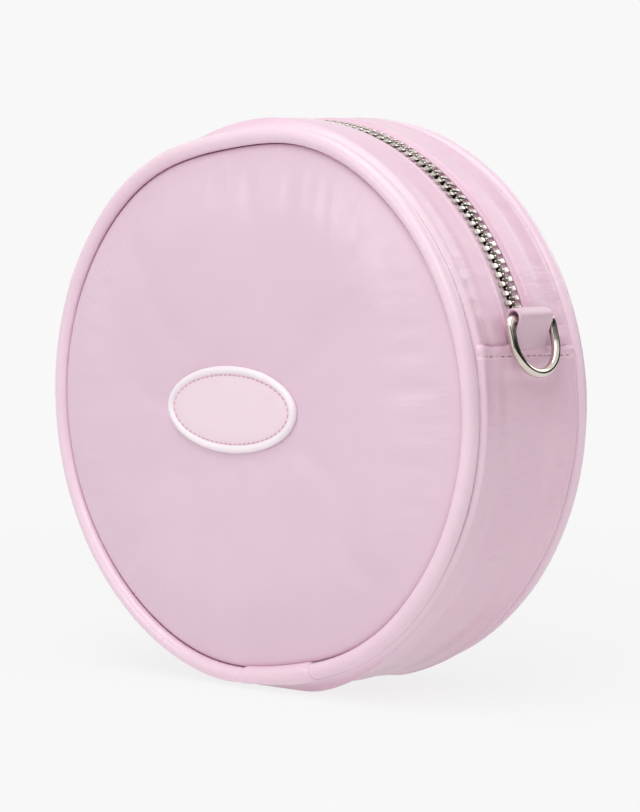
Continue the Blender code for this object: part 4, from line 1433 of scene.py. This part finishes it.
def make_pull():
    # Tapered plate with a window for the bridge, lying on the left ring's tab
    pivot = Vector(joints["pull_flip"]["pos_m"])
    turn = on_arc(slider_turn, tooth_level).to_3x3().to_4x4()
    spot = Matrix.Translation(pivot + zip_shift) @ turn @ Matrix.Rotation(-math.radians(pull_lean), 4, "Y")
    tip, long = 0.0042, 0.0200
    bow = [(long - tip + tip * math.cos(t), tip * math.sin(t)) for t in np.linspace(-1.3, 1.3, 14)]
    flank = [(0.0086, 0.0031), (0.0060, 0.0030), (-0.0007, 0.0034)]
    outline = [(x, -y) for x, y in reversed(flank)] + bow + flank
    window = closed_round([(0.0007, 0.0014), (0.0041, 0.0014), (0.0041, -0.0014), (0.0007, -0.0014)],
                          0.0005, 3)
    hole = [(0.0155 + 0.0016 * math.cos(t), 0.0016 * math.sin(t))
            for t in np.linspace(0, 2 * math.pi, 21)[:-1]]
    part = plate_mesh("pull", [outline, window, hole], 0.0015, 0.00035, spot)
    add_piece("zip_pull_plate", joined_mesh("zip_pull_plate", [part]), slider_nickel, "metal", "zip_pull",
              "pull_tab")


make_pull()

# %% [markdown]
# ## D-rings and their tabs
# Each ring is a bent wire with a straight bar inside the tab and a round bow outside. The tab is a
# short strap folded round the bar, with both ends caught under the lower gusset's topstitching.
# The wire is a tube swept along a closed line, and the tab is a folded sheet with rounded sides.

# %% Rings
wire, ring_lean = 0.0015, 14


def ring_line():
    # Wire's middle line in the ring's own frame: the bar along Y at zero and the bow below
    half, drop, turn_in = 0.0105, 0.0175, 0.0018
    corner = [(half - turn_in + turn_in * math.sin(t), turn_in * math.cos(t) - turn_in)
              for t in np.linspace(0, math.pi / 2, 7)]
    bow = [(half * math.cos(t), half - drop - half * math.sin(t)) for t in np.linspace(0, math.pi, 33)]
    leg = [(half, -turn_in - (drop - half - turn_in) * s) for s in (0.33, 0.66)]
    bar = [(half * s, 0.0) for s in (-0.6, -0.3, 0.0, 0.3, 0.6)]
    mirrored_leg = [(-y, z) for y, z in reversed(leg)]
    return bar + corner + leg + bow + mirrored_leg + [(-y, z) for y, z in reversed(corner)]


def tube_grid(line, radius, steps=18):
    # Sections of a round tube along a closed flat line in the YZ plane
    line = np.array(line, float)
    ways = np.roll(line, -1, axis=0) - np.roll(line, 1, axis=0)
    ways /= np.linalg.norm(ways, axis=1, keepdims=True)
    circle = np.linspace(0, 2 * math.pi, steps + 1)[:-1]
    rows = []
    for (y, z), (wy, wz) in zip(line, ways):
        rows.append([(radius * math.sin(c), y - wz * radius * math.cos(c), z + wy * radius * math.cos(c))
                     for c in circle])
    return np.array(rows)


def make_ring(name, side, node):
    # A wire bent to the ring's line, leaning out from its tab
    grid = tube_grid(ring_line(), wire)
    lean = Matrix.Rotation(-side * math.radians(ring_lean), 4, "Y")
    place = Matrix.Translation(Vector(joints[name + "_swing"]["pos_m"])) @ lean
    places = np.array([[place @ Vector(spot) for spot in row] for row in grid])
    mesh = grid_mesh(name + "_wire", places, round_trip=True)
    add_piece(name + "_wire", mesh, ring_nickel, "metal", name, node)


make_ring("right_ring", 1, "right_d_ring")
make_ring("left_ring", -1, "left_d_ring")


# %% Ring tabs
tab_half_width = 0.0083


def tab_line(start):
    # Inner face of the strap in the XZ plane about the axis: up behind the bar, round it and back
    start, bar = math.radians(start), math.radians(17.3)
    bar_radius = strip_level + 0.0018 + leather + gap + wire
    middle = bar_radius * np.array((math.cos(bar), math.sin(bar)))
    out = np.array((math.cos(start), math.sin(start)))
    low, far = out * (strip_level + leather), out * (strip_level + leather + 0.0001)
    reach = 0.00210
    middle = middle + 0.0006 * np.array((-math.sin(bar), math.cos(bar)))
    first = 2 * math.pi + math.atan2(*(low - middle)[::-1]) - math.acos(reach / np.linalg.norm(low - middle))
    last = math.atan2(*(far - middle)[::-1]) + math.acos(reach / np.linalg.norm(far - middle))
    loop = [middle + reach * np.array((math.cos(t), math.sin(t))) for t in np.linspace(first, last, 19)]
    up = [low + (loop[0] - low) * s for s in np.linspace(0, 0.9, 7)]
    down = [loop[-1] + (far - loop[-1]) * s - out * 0.0003 * math.sin(math.pi * s)
            for s in np.linspace(0.1, 1, 9)]
    return np.array(up + loop + down)


def make_tab(name, side, node, start):
    # The strap's section drawn at stations across its width, thinner at its rounded sides
    line = tab_line(start)
    outer = offset(line, -leather)
    mid = (line + outer) / 2
    ends = [(1 - math.sin(t), math.cos(t)) for t in np.radians((90, 65, 40, 20, 0))]
    stations = [(-tab_half_width + 0.0005 * s, max(p, 0.1)) for s, p in ends]
    stations += [(y, 1.0) for y in np.linspace(-tab_half_width + 0.0012, tab_half_width - 0.0012, 14)]
    stations += [(tab_half_width - 0.0005 * s, max(p, 0.1)) for s, p in reversed(ends)]
    rows = []
    for y, pinch in stations:
        a, b = mid + (line - mid) * pinch, mid + (outer - mid) * pinch
        pillow = 0.00012 * math.cos(math.pi / 2 * y / tab_half_width)
        b = b + (outer - line) / leather * pillow
        section = np.vstack([a, b[::-1]])
        rows.append([(side * x, y, z) for x, z in section])
    grid = np.array(rows) + np.array(centre)
    add_piece(name, grid_mesh(name, grid), tab_leather, "leather", "bag", node)


make_tab("right_strap_loop", 1, "right_ring_tab", side_seam - 1.3)
make_tab("left_strap_loop", -1, "left_ring_tab", side_seam - 0.7)

# %% [markdown]
# ## The oval patch
# A moulded rubber plate is sewn on the front, with a raised rounded rim and a coloured field poured
# into the recess. Its face stays bare here. The plate is drawn as nested ovals from its foot over
# the rim to the floor, so the rim's roundness is in the section and not left to a modifier.

# %% Patch
panel_face = panel_corner[1] + dome_rise


def oval_rings(name, steps_out, finish, slot, node, count=96):
    # Nested ovals: each step is an inset from the patch's edge and a height over the panel
    turns = np.linspace(0, 2 * math.pi, count + 1)[:-1]
    rows = []
    for inset, height in steps_out:
        x = patch_middle.x + (patch_half[0] - inset) * np.cos(turns)
        z = patch_middle.z + (patch_half[1] - inset) * np.sin(turns)
        rows.append(np.stack([x, np.full(count, -(panel_face + height)), z], axis=1))
    add_piece(name, grid_mesh(name, np.array(rows)), finish, slot, "bag", node)


rim_steps = [(0.0006, 0.0001), (0.0001, 0.0003), (0.0, 0.0010), (0.0001, 0.0014), (0.0004, 0.0018),
             (0.0009, 0.00205), (0.0015, 0.0021), (0.0021, 0.00195), (0.0025, 0.0016), (0.0027, 0.0013),
             (0.0028, 0.0011), (0.0060, 0.0011), (0.0120, 0.0011)]
oval_rings("patch_rim", rim_steps, rim_rubber, "patch", "patch_plate")
field_steps = [(0.0029, 0.00105), (0.0027, 0.00115), (0.0027, 0.00130), (0.0031, 0.00136), (0.0038, 0.00152),
               (0.0046, 0.00164), (0.0060, 0.00166), (0.0100, 0.00166), (0.0130, 0.00166)]
oval_rings("patch_face", field_steps, field_rubber, "patch_field", "patch_field")

# %% [markdown]
# ## Stitches
# A lockstitch shows as short threads that rise out of one hole and sink into the next. Each one
# here is a small arched tube, laid between two holes along its seam. The dark thread holds the side
# seams, a rose one rings the patch's field, and a thread in the leather's colour runs along the
# zipper.

# %% Thread runs
def thread_part(start, end, out, width, rise):
    # One stitch: an arched tube from hole to hole, its ends sunk into the surface
    start, end, out = Vector(start), Vector(end), Vector(out).normalized()
    along = (end - start).normalized()
    aside = along.cross(out)
    rows = []
    for t in np.linspace(0, 1, 7):
        arch = math.sin(math.pi * t)
        size = width / 2 * (0.55 + 0.45 * min(1.0, 2.2 * arch))
        middle = start.lerp(end, t) + out * (rise * arch - 0.35 * width)
        rows += [middle + aside * size * math.cos(c) + out * size * 0.8 * math.sin(c)
                 for c in np.linspace(0, 2 * math.pi, 9)[:-1]]
    return rows, tube_faces(7)


def thread_run(name, spots, outs, finish, node, width, rise, cover=0.78, bends=False):
    # Stitches along a line of evenly spaced places
    parts = []
    for a, b, out in zip(spots, spots[1:], outs):
        a, b = Vector(a), Vector(b)
        trim = (1 - cover) / 2
        parts.append(thread_part(a.lerp(b, trim), b.lerp(a, trim), out, width, rise))
    nodes = [node] if node else []
    add_piece(name, joined_mesh(name, parts), finish, "thread", "bag", *nodes, bends=bends)


def outward(turn):
    # Direction straight out from the axis at an angle in degrees
    return Vector((math.cos(math.radians(turn)), 0, math.sin(math.radians(turn))))


# %% Side seam threads
def side_seam_run(name, node, at):
    # Topstitching across the lower gusset's folded end
    section = band_section(at, fold_at(at))
    outer = section[4:len(section) // 2 - 4]
    outer = outer[np.argsort(outer[:, 1])]
    spots, outs = [], []
    for depth in np.linspace(-0.0248, 0.0248, 18):
        radius = float(np.interp(depth, outer[:, 1], outer[:, 0]))
        wander = 0.05 * math.sin(depth * 900) + 0.03 * math.sin(depth * 2300)
        spots.append(ring_place(radius, depth, at + wander + end_slant(at, depth)))
        outs.append(outward(at))
    thread_run(name, spots, outs, plum_thread, node, 0.00058, 0.00010)


stitch_turn = side_seam - math.degrees(stitch_inset / outer_radius)
side_seam_run("right_side_thread", "right_seam_stitches", 360 + stitch_turn)
side_seam_run("left_side_thread", "left_seam_stitches", 180 - stitch_turn)


# %% Zipper threads
def zip_run(name, side):
    # Stitches in the groove along a zip strip's folded edge
    spots, outs = [], []
    for turn in np.arange(side_seam + 0.6, 180 - side_seam - 0.5, math.degrees(hem_stitch / strip_level)):
        spots.append(ring_place(strip_level - 0.00080, side * (slot_half + groove_back), np.array(turn)))
        outs.append(outward(turn))
    thread_run(name, spots, outs, pink_thread, None, 0.0006, 0.00012, bends=side > 0)


for name, side in sides:
    zip_run(name + "_zip_thread", side)


# %% Patch thread
def patch_run():
    long, high = patch_half[0] - 0.0031, patch_half[1] - 0.0031
    fine = np.linspace(0, 2 * math.pi, 2001)
    line = np.stack([long * np.cos(fine), high * np.sin(fine)], axis=1)
    run = np.concatenate([[0], np.cumsum(np.linalg.norm(np.diff(line, axis=0), axis=1))])
    count = round(run[-1] / 0.0021)
    at = np.interp(np.linspace(0, run[-1], count + 1), run, fine)
    height = panel_face + 0.00148
    spots = [(patch_middle.x + long * math.cos(t), -height, patch_middle.z + high * math.sin(t)) for t in at]
    outs = [Vector((0, -1, 0))] * len(spots)
    thread_run("patch_thread", spots, outs, rose_thread, "patch_stitches", 0.00048, 0.00010, cover=0.74)


patch_run()

# %% [markdown]
# ## Floor and backdrop
# The bag stands before a plain pale ground that runs into the backdrop without a line. The ground's
# material sends the backdrop's own colour to the camera. Near the bag it keeps about a seventh of
# the lit surface, so that the shadow stays soft and real, and far off it keeps none. The world does
# the same for what metal mirrors.

# %% Ground
pale = 0.939


def ground_finish():
    material = bpy.data.materials.new("pale_ground")
    bench = bare_bench(material)
    lit = bench.node("BsdfDiffuse", None, {"Color": (0.90, 0.90, 0.90, 1)})
    glow = bench.node("Emission", None, {"Color": (1, 1, 1, 1), "Strength": pale})
    ray = bench.node("LightPath", out="Is Camera Ray")
    mirror = bench.node("LightPath", out="Is Glossy Ray")
    far = bench.node("NewGeometry", out="Position").vector("LENGTH", out="Value").between(0.22, 0.60)
    share = (ray + mirror) * (far * 0.14 + 0.56) + 0.30
    end_tree(bench.node("MixShader", None, {0: share, 1: lit, 2: glow}), "Material")
    return material


def flat_board(name, wide, high, finish):
    # Flat rectangle in the XY plane that is part of the studio and not of the bag
    x, y = wide / 2, high / 2
    mesh = plain_mesh(name, [(-x, -y, 0), (x, -y, 0), (x, y, 0), (-x, y, 0)], [(0, 1, 2, 3)])
    mesh.materials.append(finish)
    board = in_scene(name, mesh)
    return board


flat_board("pale_floor", 12.0, 12.0, ground_finish())


# %% World
def make_world(ambient):
    # Even light, with the backdrop's level wherever the camera or a mirror looks
    world = bpy.data.worlds.new("pale_studio")
    bpy.context.scene.world = world
    bench = bare_bench(world)
    ray = bench.node("LightPath", out="Is Camera Ray")
    mirror = bench.node("LightPath", out="Is Glossy Ray")
    clear = bench.node("LightPath", out="Is Transmission Ray")
    seen = bench.math("ADD", ray + mirror, clear, clamp=True)
    strength = seen * (pale - ambient) + ambient
    end_tree(bench.node("Background", None, {"Color": (1, 1, 1, 1), "Strength": strength}), "World")


make_world(0.36)
print("backdrop level", pale)

# %% [markdown]
# ## Lamps
# The photograph is a product shot in soft light: a large lamp from the front right and above, one
# overhead, a small weak one from the left that draws the light along the edge, and one behind the
# bag for the far side of the gusset. The large ones keep the shadows soft.


# %% Lamps
def face_toward(thing, place, aim, axis):
    # Stands a lamp or a board at a place, with one of its axes toward its aim
    thing.location = place
    thing.rotation_euler = (Vector(aim) - Vector(place)).to_track_quat(axis, "Y").to_euler()


def add_lamp(name, place, size, power, colour=(1, 1, 1)):
    data = bpy.data.lights.new(name, "AREA")
    data.shape = "RECTANGLE"
    data.size, data.size_y = size
    data.energy = power
    data.color = colour
    face_toward(in_scene(name, data), place, centre, "-Z")


add_lamp("key_lamp", (0.70, -1.13, 1.06), (0.9, 0.8), 6.9)
add_lamp("overhead_lamp", (0.06, -0.30, 1.29), (1.0, 1.0), 8.8, (0.95, 1.0, 0.97))
add_lamp("edge_lamp", (-0.55, -1.24, 0.44), (0.42, 0.36), 1.7)
add_lamp("back_lamp", (0.30, 1.25, 0.75), (1.0, 0.8), 3.2)

# %% [markdown]
# ## Dark flags
# Polished wire mirrors the whole room, and in a white room it would look like chalk. A studio stands
# dark boards beside the object, which draw dark bands into the metal. Three such boards stand here.
# Only glossy rays see them, so that they shade nothing and stay out of every view, and they clear
# toward their edges.


# %% Flags
def flag_finish():
    # Dark in the middle and clear toward the edges, so that leather mirrors no hard line
    material = bpy.data.materials.new("dark_flag")
    bench = bare_bench(material)
    across = bench.node("TexCoord", out="Generated").vector("SUBTRACT", (0.5, 0.5, 0.0))
    wide, high = (1 - across.axis(name).absolute().between(0.34, 0.5) for name in ("X", "Y"))
    dark = wide * high
    clear = bench.node("BsdfTransparent")
    cloth = bench.node("BsdfDiffuse", None, {"Color": (0.02, 0.02, 0.02, 1)})
    end_tree(bench.node("MixShader", None, {0: dark, 1: clear, 2: cloth}), "Material")
    return material


flag_cloth = flag_finish()


def add_flag(name, place, wide, high):
    flag = flat_board(name, wide, high, flag_cloth)
    face_toward(flag, place, centre, "Z")
    for kind in ("camera", "diffuse", "shadow", "transmission", "volume_scatter"):
        setattr(flag, "visible_" + kind, False)


add_flag("right_flag", (0.92, 0.06, 0.16), 1.70, 0.70)
add_flag("back_flag", (0.35, 0.90, 0.16), 1.20, 0.60)
add_flag("camera_flag", (0.82, -0.90, 0.16), 0.56, 0.90)

# %% [markdown]
# ## Camera
# The camera stands where the photograph was taken from: its place was fitted to the seam and the
# outline in the picture. The picture's middle isn't on the camera's axis, so the lens is shifted by
# a small share of the frame's height.

# %% Camera
azimuth, elevation, roll = (math.radians(value) for value in (42.846, 3.965, -0.470))
distance, lens_pixels = 0.98237, 2914.3
frame_width, frame_height = 640, 812
aim_x, aim_y = 309.736, 400.054


def make_camera():
    # Perspective camera at the fitted place, its lens shifted by where the axis meets the picture
    data = bpy.data.cameras.new("product_camera")
    data.sensor_width = 36.0
    data.sensor_fit = "AUTO"
    data.lens = lens_pixels * data.sensor_width / frame_height
    data.shift_x = (frame_width / 2 - aim_x) / frame_height
    data.shift_y = -(frame_height / 2 - aim_y) / frame_height
    data.clip_start, data.clip_end = 0.01, 50
    away = Vector((math.sin(azimuth) * math.cos(elevation), -math.cos(azimuth) * math.cos(elevation),
                   math.sin(elevation)))
    right = (-away).cross(Vector((0, 0, 1))).normalized()
    up = right.cross(-away)
    across = right * math.cos(roll) + up * math.sin(roll)
    upward = up * math.cos(roll) - right * math.sin(roll)
    turn = Matrix((across, upward, away)).transposed().to_4x4()
    camera = in_scene("product_camera", data)
    camera.matrix_world = Matrix.Translation(centre + away * distance) @ turn
    bpy.context.scene.camera = camera
    return camera


camera = make_camera()
bpy.context.scene.view_settings.view_transform = "Standard"
print("lens", round(camera.data.lens, 1), "mm, shift", camera.data.shift_x, camera.data.shift_y)

# %% [markdown]
# ## The last line

# %% Finish
print("pieces", len(pieces))
